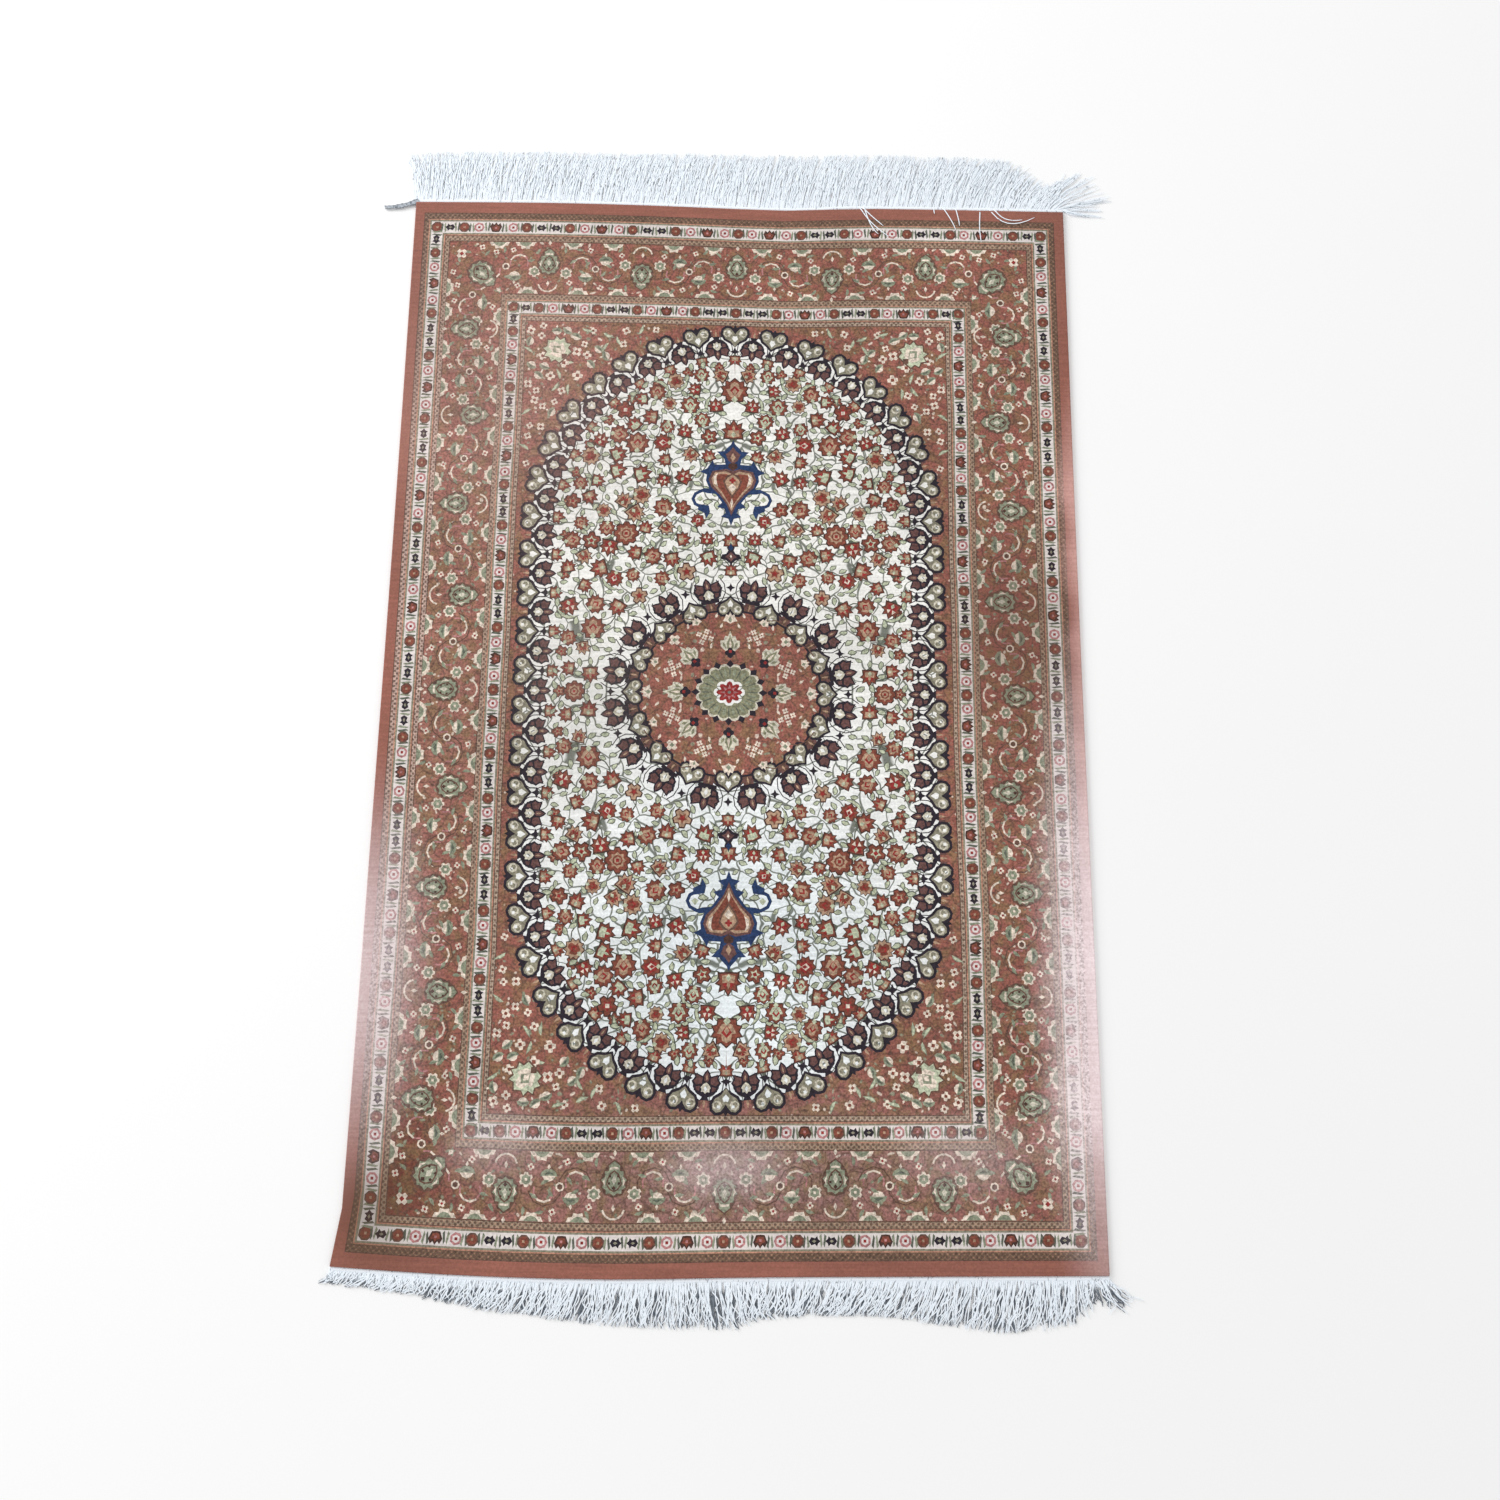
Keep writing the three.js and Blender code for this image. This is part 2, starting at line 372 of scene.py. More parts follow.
def pillars():
    """A gold bud between two mauve pillars, on the terracotta between two hearts."""
    posts = pair(outline((4.5, -6), (9, -6), (8.6, 6), (5, 7)))
    return [
        ("navy", outline((-17, -12), (17, -12), (16, -5.6), (-16, -5.6))),
        *dyed("mauve", posts),
        ("gold", both((0, -5), (1.9, 1), (0, 8.5))),
    ]


def border_palmette():
    """A grey-green palmette of the main border with leafy edges, tip up, and a pale bud beyond it."""
    dots = pair(disc(1.9, 4, 6 - 5j)) + pair(disc(1.6, 4, 4.6 + 3j))
    return [
        ("umber", both((0, -21), (10.5, -18), (15.5, -9.5), (16.8, -1), (12.4, 9), (8, 16.5), (0, 22))),
        ("green", both(
            (0, -19), (4, -16), (9.2, -16.5), (9.5, -12), (14, -9.5), (12, -5.5), (15.2, -1), (11, 2.5),
            (11, 8.5), (6.4, 9), (6.6, 15), (0, 20),
        )),
        ("umber", both((0, -15), (5, -12.5), (9.6, -6), (8, 0.5), (5.4, 6), (0, 10))),
        ("green", both((0, -13), (4, -11), (8, -5.6), (6.4, 0), (4, 4.6), (0, 8))),
        *dyed("cream", pair(outline((10.6, -9), (13.4, -2.6), (9.6, 3), (10.8, -3)))),
        ("cream", both((0, 11), (5.4, 10.6), (5, 13), (0, 13.6))),
        *dyed("brown", dots),
        ("silver", both((0, -6.5), (3, -2), (0, 5))),
        ("brown", both((0, -13), (2.6, -10.5), (0, -7.5))),
        ("cream", both((0, 25), (2.4, 29), (0, 33))),
    ]


def border_arch():
    """An arch below a border palmette, with a pale bud in it."""
    return [
        ("cream", ribbon(arc(14.5, 192, 348, 8, at=-35j), 2.5)),
        ("cream", both((0, -41), (2.4, -36), (0, -31))),
    ]


def ring_flower():
    """A pale ring with a dark heart, where two scrolls of the main border meet."""
    return [("cream", disc(6, 7)), ("umber", disc(3.8, 6))]


def side_rosette():
    """A pale flower with a green heart, beside a border palmette."""
    return [("cream", blunt_petals(9.5, 6, 0.7)), ("green", disc(6.6, 6)), ("cream", disc(2.4, 4))]


def small_palmette(size):
    """A little green dome over pale petals, with a pale tip."""
    return [
        ("green", size * both((0, -0.1), (1.15, -0.15), (0.95, 0.4), (0.4, 0.75), (0, 0.8))),
        ("sage", size * both((0, 0.1), (0.7, 0.1), (0, 0.5))),
        ("cream", size * both((0, -0.8), (0.55, -0.6), (0.9, -0.1), (0, -0.05))),
        ("cream", size * both((0, 0.7), (0.22, 1), (0, 1.4))),
    ]


def half_flower(size):
    """A pale flower cut by the edge of its stripe."""
    return [
        ("cream", size * both((0, 0), (1.3, 0), (1.05, 0.5), (0.62, 0.52), (0.5, 0.95), (0, 0.86))),
        ("green", size * both((0, 0), (0.85, 0), (0.45, 0.45), (0, 0.6))),
    ]


def small_flower(size, heart="red"):
    """A little pale flower of four petals."""
    return [("cream", blunt_petals(size, 4, 0.6)), (heart, disc(size * 0.42, 4))]


def sprig():
    """Two broad leaves that fill the white between two flowers."""
    blade = outline((2, -9), (4.8, -6), (2.4, 8), (0.4, 3.6))
    return [("sage", blade), ("green", -blade.conj())]


def round_flower():
    """A brown-red round flower of the white stripes."""
    return [("umber", disc(8.8, 8)), ("rust", disc(6.6, 7)), ("gold", disc(2.2, 4))]


def ring_rosette():
    """A pink ring round a white eye with a red dot."""
    return [("pink", disc(8.2, 7)), ("white", disc(5.2, 6)), ("red", disc(2.6, 4))]


def pot_flower():
    """A rust three-lobed flower shaped like a pot."""
    return [
        ("brown", 1.1 * both((0, -7.5), (5, -7), (8.5, 1), (5.6, 7), (2.8, 4), (0, 8))),
        ("rust", 1.1 * both((0, -5.4), (3.6, -4.8), (6, 1), (2.2, 1.8), (0, 5))),
        ("pink", disc(2.2, 4, -1j)),
    ]


def navy_bud():
    """A navy bud that stands across the white stripe."""
    return [
        ("navy", both((0, -7.5), (5.2, -4), (3.4, 0.5), (6.4, 3.5), (2.8, 4.6), (0, 8))),
        ("grey", both((0, -3.5), (1.9, -0.5), (0, 2.5))),
    ]


def sunburst():
    """The medallion's middle: sixteen olive petals with navy between their tips, round a red rosette."""
    half_step = np.exp(1j * math.pi / 16)
    shapes = [
        ("navy", star(54, 44, 16)),
        ("silver", petals(48, 16, 0.86, 0.97) * half_step),
        ("olive", petals(43.5, 16, 0.9, 0.99) * half_step),
    ]
    for turn in np.exp(2j * math.pi * (np.arange(-1, 5) + 0.5) / 16):
        shapes.append(("green", -1j * turn * (25j + leaf(15, 4.2))))
        shapes.append(("sage", -1j * turn * half_step * (24j + leaf(19, 2.2))))
    shapes += [
        ("ivory", petals(22, 8, 0.84, 0.98)), ("red", petals(18.5, 8, 0.66, 0.9)),
        ("pink", star(13, 6, 8)), ("red", disc(6.5, 8)), ("ivory", disc(2.6, 6)),
    ]
    squashed = 0.88j
    return [(dye, shape.real + squashed * shape.imag) for dye, shape in shapes]


def fan_palmette():
    """An ivory fan on a navy and red foot."""
    return [
        ("silver", both((0, -2), (7, 3), (13, 9), (13.5, 17), (9, 17.5), (7, 24), (3, 23), (0, 31))),
        ("olive", both((0, 2), (4, 6), (5, 13), (2.5, 18), (0, 25))),
        ("cream", both((0, 6), (2, 10), (0, 20))),
        *dyed("olive", pair(outline((5.5, 6), (10.5, 10.5), (10, 14.5), (6.5, 12)))),
        ("navy", petals(7.6, 4, 0.7)),
        ("red", disc(2.8, 4, 2j)),
    ]


def flower_cluster():
    """Five little white flowers on one stalk."""
    shapes = []
    for at in (-6 - 4j, 6.5 - 3.5j, 0.5 + 1j, -5 + 6.5j, 5.5 + 7j):
        shapes.append(("cream", at + blunt_petals(3.9, 4, 0.55)))
        shapes.append(("rust", at + disc(1.1, 4)))
    return shapes


def white_lotus(size):
    """A pale lotus on the medallion's rim."""
    return [
        ("cream", size * both(
            (0, -0.8), (0.5, -0.5), (1.1, -0.4), (0.8, 0.1), (0.6, 0.7), (0.25, 0.5), (0, 1.1)
        )),
        ("green", size * both((0, -0.6), (0.35, -0.2), (0, 0.3))),
    ]


def pendant():
    """The blue heart-shaped pendant with its crown and scroll arms, on the long axis."""
    arms = pair(outline(
        (20, 301), (32, 305), (44, 304), (53, 299), (56.5, 291), (53, 283), (45, 279), (38, 277)
    ))
    heads = pair(outline((48, 283), (33, 281), (31, 271), (36, 261), (39, 269), (49, 274)))
    feet = pair(outline((22, 299), (36, 300), (49, 304), (40, 308), (28, 307)))
    curls = pair(outline((46, 297), (51, 291), (46, 287), (41, 291)))
    crescents = pair(outline((21, 311), (27, 316), (28, 327), (22, 332), (24, 325), (23, 318)))
    return [
        *dyed("blue", [ribbon(arm, 4.8) for arm in arms] + heads + feet),
        *dyed("leaf", curls),
        ("blue", both(
            (0, 250), (4, 261), (15, 264), (8, 270), (10, 276), (21, 279), (14, 286), (22, 297),
            (33, 307), (39, 320), (38, 329), (48, 334), (38, 339), (30, 352), (27, 345), (11, 346),
            (13, 355), (24, 366), (13, 367), (9, 372), (3, 378), (0, 385),
        )),
        ("mauve", both(
            (0, 266), (7, 283), (18, 298), (31, 310), (35, 322), (30, 335), (10, 339), (0, 336)
        )),
        ("gold", both(
            (0, 273), (6, 286), (17, 301), (28, 313), (31, 323), (26, 333), (9, 335), (0, 330)
        )),
        ("rust", both((0, 279), (15, 303), (25, 315), (27, 323), (22, 330), (9, 331), (0, 325))),
        *dyed("cream", crescents),
        ("umber", both((0, 293), (10, 308), (14, 320), (8, 329), (0, 332))),
        ("gold", both((0, 298), (8, 310), (11, 319), (6, 326), (0, 330))),
        ("cream", both((0, 302), (6, 310), (3, 313), (0, 316))),
        ("red", petals(5, 4) + 321j),
        ("cream", both((0, 278), (2.2, 286), (0, 293))),
        ("brown", both((0, 336), (7, 341), (6, 347), (0, 349))),
        ("mauve", both((0, 347), (7, 352), (11, 362), (5, 367), (0, 374))),
        ("gold", both((0, 350), (4, 357), (0, 364))),
    ]


def finial():
    """A dark three-lobed bud with a blue tip, between the medallion and the pendant."""
    return [
        ("navy", both(
            (0, -16), (2, -10), (7, -6), (15, -3), (13, 3), (7, 4), (4, 9), (6, 14), (2, 17), (0, 22)
        )),
        ("mauve", both((0, -8), (4, -3), (9, -1), (4, 3), (0, 7))),
        ("blue", both((0, 9), (4, 13), (2, 16), (0, 20))),
        ("cream", both((0, -3), (1.6, 0), (0, 3))),
    ]


class Cartoon:
    """The knotting plan of one quarter of the rug: dyed outlines in millimetres, later ones on top."""

    def __init__(self):
        self.shapes = []

    def draw(self, dye, shape):
        self.shapes.append((dye, np.asarray(shape, complex)))

    def lay(self, motif, at=0j, turn=0.0, size=1.0, flip=False):
        """Lays a motif with its axis turned from straight up by so many degrees."""
        for dye, shape in motif:
            if flip:
                shape = -shape.conj()
            self.draw(dye, at + size * shape * turned(turn))


class Line:
    """A line through the quarter that can be read by the distance along it."""

    def __init__(self, points):
        self.points = np.asarray(points, complex)
        self.along = np.concatenate([[0], np.cumsum(np.abs(np.diff(self.points)))])
        self.length = self.along[-1]

    def at(self, distance):
        return np.interp(distance, self.along, self.points.real) + 1j * np.interp(
            distance, self.along, self.points.imag
        )

    def outwards(self, distance):
        """The direction away from the rug's middle, for a line that runs from a side to an end."""
        along = self.at(min(distance + 1, self.length)) - self.at(max(distance - 1, 0))
        return -1j * along / abs(along)

    def outside(self, point):
        """How far a point lies outside the line; inside it is less than nothing."""
        nearest = np.argmin(np.abs(self.points - point))
        return ((point - self.points[nearest]) / self.outwards(self.along[nearest])).real


def quarter_box(half_width, half_length, step=70.0):
    """The quarter of an upright rectangle round the rug's middle, with points along its outer edges."""
    up = np.linspace(0, half_length, max(2, round(half_length / step) + 1))
    back = np.linspace(half_width, 0, max(2, round(half_width / step) + 1))
    return np.concatenate([[0], half_width + 1j * up, back[1:] + 1j * half_length])


def oval_line():
    """The line through the middles of the heart scrolls: straight along the side, then round the end."""
    half_width, straight, dome = 295, 255, 300
    side = half_width + 1j * np.linspace(0, straight, 40, endpoint=False)
    turn = np.linspace(0, math.pi / 2, 120)
    end = half_width * np.cos(turn) + 1j * (straight + dome * np.sin(turn))
    return Line(np.concatenate([side, end]))


def ellipse_sector(across, along, steps=24):
    turn = np.linspace(0, math.pi / 2, steps)
    return np.concatenate([[0], across * np.cos(turn) + 1j * along * np.sin(turn)])


def scattered(rng, low, high, fits, spacing, taken, tries):
    """Points dropped at random where they fit, none nearer to another than the spacing."""
    found = []
    for _ in range(tries):
        point = complex(rng.uniform(low.real, high.real), rng.uniform(low.imag, high.imag))
        if not fits(point):
            continue
        if all(abs(point - other) > spacing for other in found) and all(
            abs(point - other) > room + spacing / 2 for other, room in taken
        ):
            found.append(point)
    return found


def draw_guard(plan, dye, u, v, depth_u, depth_v, white_inside):
    """A guard stripe: its dye between fine lines, and a grey line beside the white stripe. Its dots are
    laid by the pile's material.
    """
    inner_u, inner_v = u - depth_u, v - depth_v
    lines = [("umber", 0.0), (dye, 1.4), ("peach", -4.2), ("grey", -2.5)]
    if not white_inside:
        lines = [("grey", 0.0), ("peach", 2.5), ("umber", 4.2), (dye, 5.4), ("umber", -1.5)]
    for line_dye, inset in lines:
        if inset < 0:
            plan.draw(line_dye, quarter_box(inner_u - inset, inner_v - inset))
        else:
            plan.draw(line_dye, quarter_box(u - inset, v - inset))


def draw_stripes(plan, sizes):
    """The eight stripes from the plain edge to the field, and the field's ground."""
    rim = sizes.rim / MM
    across = sizes.width / 2 / MM - np.concatenate([[rim], np.cumsum(np.array(sizes.side_stripes) / MM)])
    along = sizes.length / 2 / MM - np.concatenate([[rim], np.cumsum(np.array(sizes.end_stripes) / MM)])
    plan.draw("plain", quarter_box(across[0], along[0]))
    for number, guard, ground in (
        (1, "bark", "white"), (3, "beige", "terracotta"), (5, "beige", "white"), (7, "sand", "terracotta")
    ):
        depths = across[number] - across[number + 1], along[number] - along[number + 1]
        draw_guard(plan, guard, across[number], along[number], *depths, ground == "white")
        plan.draw(ground, quarter_box(across[number + 1], along[number + 1]))
    return across, along


def draw_white_stripe(plan, corner, unit):
    """Small flowers in turn along a white stripe, from its corner flower to both axes of the rug. A repeat
    is one unit long."""
    gaps = [23, 26, 27, 21, 23, 22, 22]
    kinds = [round_flower, ring_rosette, pot_flower, ring_rosette, round_flower, navy_bud, navy_bud]
    first_bud, first_flower, repeats = 20, 42, 6
    scale = unit / sum(gaps)
    places = [(first_bud * scale, navy_bud)]
    place = first_flower * scale
    for gap, kind in repeats * list(zip(gaps, kinds)):
        places.append((place, kind))
        place += gap * scale
    plan.lay(round_flower(), corner, size=1.1)
    for run, turn in ((corner.real, 0), (corner.imag, -90)):
        last = min((abs(at - run), at) for at, kind in places if kind is round_flower)[1]
        towards = -1 if turn == 0 else -1j
        before = 0.0
        for number, (at, kind) in enumerate(p for p in places if p[0] <= last + 1):
            facing = turn
            if kind is navy_bud:
                facing += 90 if number % len(kinds) == 6 else -90
            between = corner + towards * (at + before) / 2 * run / last
            plan.lay(sprig(), between, turn + 180 * (number % 2))
            plan.lay(kind(), corner + towards * at * run / last, facing)
            before = at


def border_blade():
    """A green leaf between the scrolls."""
    return [("green", leaf(12, 5, 4))]


def border_scroll():
    """A pale scroll that curls away from its ring."""
    return [("pink", ribbon(arc(14, 205, -20, 7), 2.2)), ("cream", ribbon(arc(14, 130, 20, 4), 2.6))]


def border_cell(plan, ring, inwards_first, turn):
    """The scrolls between two border palmettes, alike when turned half round about their ring."""
    flip = -1 if inwards_first else 1

    def put(motif, x, y, facing):
        for half in (0, 180):
            offset = complex(flip * x, y) * turned(half)
            plan.lay(motif, ring + turned(turn) * offset, turn + half + flip * facing)

    tendril = [("umber", ribbon(arc(22, 200, 10, 6), 1.8))]
    for motif, x, y, facing in (
        (tendril, -20, 2, 0), (border_scroll(), -21, 5, 0), (side_rosette(), -45, -8, 0),
        (small_palmette(10), 15, 14, 0), (half_flower(12), -36, 43, 180), (half_flower(12), 25, 43, 180),
        (small_flower(4.8), -9, 31, 20), (small_flower(4.6), 39, 24, 10),
        (border_blade(), 8, -12, -60), (border_blade(), 25, 2, 40), (border_blade(), -20, 30, 60),
        (border_blade(), -48, 25, -20), (border_blade(), 33, 29, -50), (border_blade(), -29, 14, 100),
    ):
        put(motif, x, y, facing)
    plan.lay(ring_flower(), ring)


def draw_border_corner(plan, middle):
    """A turned palmette in the corner of the main border, with scrolls that run from it both ways."""
    along_end = [
        (border_scroll(), -66 + 8j, 0), (border_scroll(), -24 - 6j, 180), (side_rosette(), -90 - 6j, 0),
        (small_palmette(10), -60 - 14j, 180), (half_flower(12), -74 + 43j, 180),
        (half_flower(12), -82 - 43j, 0), (half_flower(12), -34 + 43j, 180),
        (small_flower(4.8), -56 + 30j, 20), (small_flower(4.8), -66 - 30j, 10),
        (small_flower(5), -30 + 26j, 30), (small_flower(5), -8 + 34j, 30),
        (border_blade(), -42 + 24j, 20), (border_blade(), -44 - 14j, 120),
        (border_blade(), -90 + 24j, 60), (border_blade(), -12 + 20j, 60),
        (border_blade(), -78 + 12j, 100), (border_blade(), 8 + 24j, 300),
        (border_blade(), -40 - 32j, 200), (ring_flower(), -46 + 2j, 0),
    ]
    for motif, offset, facing in along_end:
        plan.lay(motif, middle + offset, facing)
        plan.lay(motif, middle + 1j * offset.conjugate(), -90 - facing, flip=True)
    plan.lay(border_palmette(), middle - 12 - 12j, 135, 1.25)
    plan.lay(small_flower(8.5), middle + 23 + 23j, 45)


def draw_main_border(plan, across, along):
    """Palmettes that point outwards and inwards in turn, with scrolls between them."""
    middle = complex((across[4] + across[5]) / 2, (along[4] + along[5]) / 2)
    draw_border_corner(plan, middle)
    for u, way in ((73, 1), (216, -1)):
        border_cell(plan, complex(u, middle.imag), way < 0, 0)
    pitch = 139
    for number in range(4):
        border_cell(plan, complex(middle.real, (number + 0.5) * pitch), number % 2 == 0, -90)

    def palmette(at, turn):
        plan.lay(border_arch(), at, turn)
        plan.lay(border_palmette(), at, turn, 1.1)

    shift = 10.5
    for u, way in ((0, 1), (145, -1), (288, 1)):
        palmette(complex(u, middle.imag + way * shift), 0 if way > 0 else 180)
    for number in range(5):
        way = -1 if number % 2 else 1
        palmette(complex(middle.real + way * shift, number * pitch), -90 * way)


def draw_oval(plan, line):
    """The ivory oval with its wreath of heart scrolls and dark palmettes."""
    normals = np.array([line.outwards(s) for s in line.along])[::3]
    for dye, inset in (("navy", 4), ("ivory", 11)):
        plan.draw(dye, np.concatenate([[0], line.points[::3] - inset * normals]))
    hearts = 12.5
    step = line.length / hearts

    def frames(first):
        """Places a heart's room apart, the way outwards at each, and the turn of what lies there."""
        for number in range(math.ceil(hearts)):
            distance = (number + first) * step
            if distance <= line.length + 1:
                out = line.outwards(distance)
                yield line.at(distance), out, bearing(out) - 90

    for at, out, turn in frames(0):
        plan.lay(pillars(), at, turn)
        plan.lay(straps(20.5, "navy"), at - 24 * out, turn)
    for at, out, turn in frames(0.5):
        plan.lay(heart_scroll(), at, turn)
        plan.draw("navy", at - 27 * out + star(8, 3.5, 4))
    for at, out, turn in frames(0):
        plan.lay(dark_palmette(), at - 25.5 * out, turn, 0.86)
    for at, out, turn in frames(0.5):
        plan.lay(side_blossom(11), at - 42 * out, turn + 180)
    for at, out, turn in frames(0):
        plan.lay(open_blossom(9.5), at - 53 * out, turn)


def draw_medallion(plan):
    """The terracotta disc in its wreath, with the sunburst and its fans."""
    for dye, across, along in (
        ("navy", 147, 135), ("umber", 143, 131), ("navy", 132.5, 122), ("terracotta", 129.4, 119.2)
    ):
        plan.draw(dye, ellipse_sector(across, along))
    places = []
    for number in range(-1, 5):
        way = turned(11.25 + 22.5 * number)
        at = 168 * way.real + 154j * way.imag
        places.append((at, bearing(at) + 90))
    for at, facing in places:
        plan.lay(straps(22.5, "umber"), at, facing)
        plan.lay(pillars(), 0.835 * at, facing, 0.8)
    for number in range(0, 5):
        way = turned(22.5 * number)
        at = 136.5 * way.real + 125.5j * way.imag
        plan.lay(heart_scroll(), at, bearing(at) + 90, 0.9)
        plan.draw("navy", 1.24 * at + star(7, 3, 4))
    for at, facing in places:
        plan.lay(dark_palmette(), at, facing, 0.94)
    for at in (60 + 78j, 92 + 44j):
        plan.draw("umber", ribbon(arc(30, 200, 20, 7, at=at), 1.6))
    for at in (36 + 80j, 80 + 34j):
        plan.lay(flower_cluster(), at, bearing(at) - 90, 1.15)
    for at, size in ((109j, 9.5), (117 + 0j, 9.5), (49 + 103j, 7), (107 + 44j, 7)):
        plan.lay(white_lotus(size), at, bearing(at) - 90)
    plan.lay(small_flower(8.5, "green"), 80 + 76j, 45)
    for at in (15 + 95j, 100 + 14j, 22 + 110j, 118 + 20j, 62 + 92j, 97 + 60j, 29 + 64j, 68 + 24j):
        plan.lay([("cream", leaf(8, 4, 3))], at, bearing(at) - 30)
    for at, turn in ((58j, 0), (49 + 43j, -45), (62 + 0j, -90)):
        plan.lay(fan_palmette(), at, turn, 1.06)
    plan.lay(sunburst())


def draw_field(plan, line, spacing, rng):
    """Blossoms all over the ivory, joined by thin vines, with leaves and tendrils between them."""
    large = [
        (153 + 236j, rosette, 19), (142 + 378j, lotus, 18), (197 + 94j, lotus, 18),
        (221 + 0j, rosette, 16), (465j, lotus, 21), (400j, side_blossom, 18),
        (182j, side_blossom, 11), (228j, side_blossom, 13),
    ]
    medallion_across, medallion_along, wreath_depth = 200, 185, 58
    pendant_half, pendant_foot, pendant_tip = 34, 240, 390

    def open_ground(point, margin):
        """Whether a point lies this far clear of the medallion, the pendant and the oval's wreath."""
        across, along = point.real / (medallion_across + margin), point.imag / (medallion_along + margin)
        beside = point.real > pendant_half + margin
        off_pendant = beside or not pendant_foot - margin < point.imag < pendant_tip
        off_wreath = -line.outside(point) > wreath_depth + margin
        return math.hypot(across, along) > 1 and off_pendant and off_wreath

    # The pendant's arms, sides and crown and the finial keep room round them.
    kept_free = [(54 + 292j, 10.0), (28 + 325j, 12.0), (22 + 345j, 6.0), (203j, 6.0)]
    taken = [(at, radius - 3.0) for at, kind, radius in large] + kept_free
    blossoms = scattered(rng, 13 + 13j, 240 + 500j, lambda p: open_ground(p, 0), spacing, taken, 9000)
    kinds = [side_blossom, lotus, side_blossom, open_blossom, side_blossom, lotus, side_blossom]
    flowers = [(at, kinds[rng.integers(len(kinds))], rng.uniform(11, 15.6)) for at in blossoms]
    order = sorted(large + flowers, key=lambda flower: abs(flower[0]))
    for number, (at, kind, radius) in enumerate(order[1:], 1):
        distance, near = min((abs(at - other), other) for other, *_ in order[:number])
        if distance < 70:
            bow = 0.26 * (1 if number % 2 else -1)
            share = np.linspace(0, 1, 5)
            way = at - near
            vine = near + way * share
            vine = vine + 1j * way * bow * 4 * share * (1 - share)
            plan.draw("sage", ribbon(vine, 1.8))
    room = [(at, radius * 0.68) for at, kind, radius in order] + kept_free
    leaves = scattered(rng, 6 + 6j, 262 + 520j, lambda p: open_ground(p, -14), 14, room, 9000)
    for number, (at, kind, radius) in enumerate(flowers):
        if number % 3 == 1:
            plan.lay(feather_leaf(radius + 5, rng.uniform(100, 160)), at, rng.uniform(0, 360))
    for at in leaves:
        turn = rng.uniform(0, 360)
        plan.lay(leaf_bud(rng.uniform(11, 15.5)), at - 6.5j * turned(turn), turn)
    for at, kind, radius in large:
        plan.lay(kind(radius), at)
    swaps = [{}, {"rust": "gold", "gold": "rust"}, {}, {"gold": "red", "red": "cream"}, {"gold": "leaf"}]
    for number, (at, kind, radius) in enumerate(flowers):
        plan.lay(redyed(kind(radius), swaps[number % len(swaps)]), at, rng.uniform(0, 360))
    plan.lay(finial(), 203j)
    plan.lay(pendant())


def draw_corner(plan, line, across, along, rng):
    """The terracotta corner of the field, with a large palmette among small pale flowers."""
    big = complex(across - 48, along - 45)
    heart_depth, margin = 23, 6

    def fits(point):
        inside = point.real < across - margin and point.imag < along - margin
        return inside and line.outside(point) > heart_depth

    places = scattered(rng, 8 + 8j, complex(across, along), fits, 15, [(big, 16.0)], 6000)
    for number, at in enumerate(places):
        turn = rng.uniform(0, 360)
        if number % 2 == 0:
            plan.lay(small_flower(rng.uniform(5.5, 8.4), "rust"), at, turn)
        elif number % 4 == 1:
            plan.lay([("green", leaf(18, 6, 7)), ("leaf", leaf(16, 3.6, 6))], at, turn)
        else:
            plan.lay(small_palmette(7.6), at, turn)
    swaps = {"brown": "umber", "rust": "leaf", "gold": "cream", "red": "green", "leaf": "umber"}
    plan.lay(redyed(lotus(23), swaps), big, -45)


def knotting_plan(sizes):
    """Draws one quarter of the rug and returns its outlines."""
    rng = np.random.default_rng(sizes.seed)
    plan = Cartoon()
    across, along = draw_stripes(plan, sizes)
    for edge, unit in ((2, 164), (6, 154)):
        corner = complex((across[edge] + across[edge + 1]) / 2, (along[edge] + along[edge + 1]) / 2)
        draw_white_stripe(plan, corner, unit)
    draw_main_border(plan, across, along)
    line = oval_line()
    draw_corner(plan, line, across[8], along[8], rng)
    draw_oval(plan, line)
    draw_field(plan, line, sizes.blossom_spacing / MM, rng)
    draw_medallion(plan)
    return plan.shapes


def woven_edges(sizes):
    """The uneven edges of the rug's solid in millimetres, left and right read by y, near and far by x."""
    points = np.array([vertex.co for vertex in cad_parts["rug"].data.vertices]) / MM
    thick, rim = sizes.thickness / MM, sizes.rim / MM
    rows = points[(points[:, 2] > rim - 0.1) & (points[:, 2] < thick - rim + 0.1)]
    half_u, half_v = sizes.width / 2 / MM - 20, sizes.length / 2 / MM - 20

    def reader(chosen, by, value):
        line = chosen[np.argsort(chosen[:, by])]
        return lambda at: np.interp(at, line[:, by], line[:, value])

    return (
        reader(rows[rows[:, 0] < -half_u], 1, 0),
        reader(rows[rows[:, 0] > half_u], 1, 0),
        reader(rows[rows[:, 1] < -half_v], 0, 1),
        reader(rows[rows[:, 1] > half_v], 0, 1),
    )


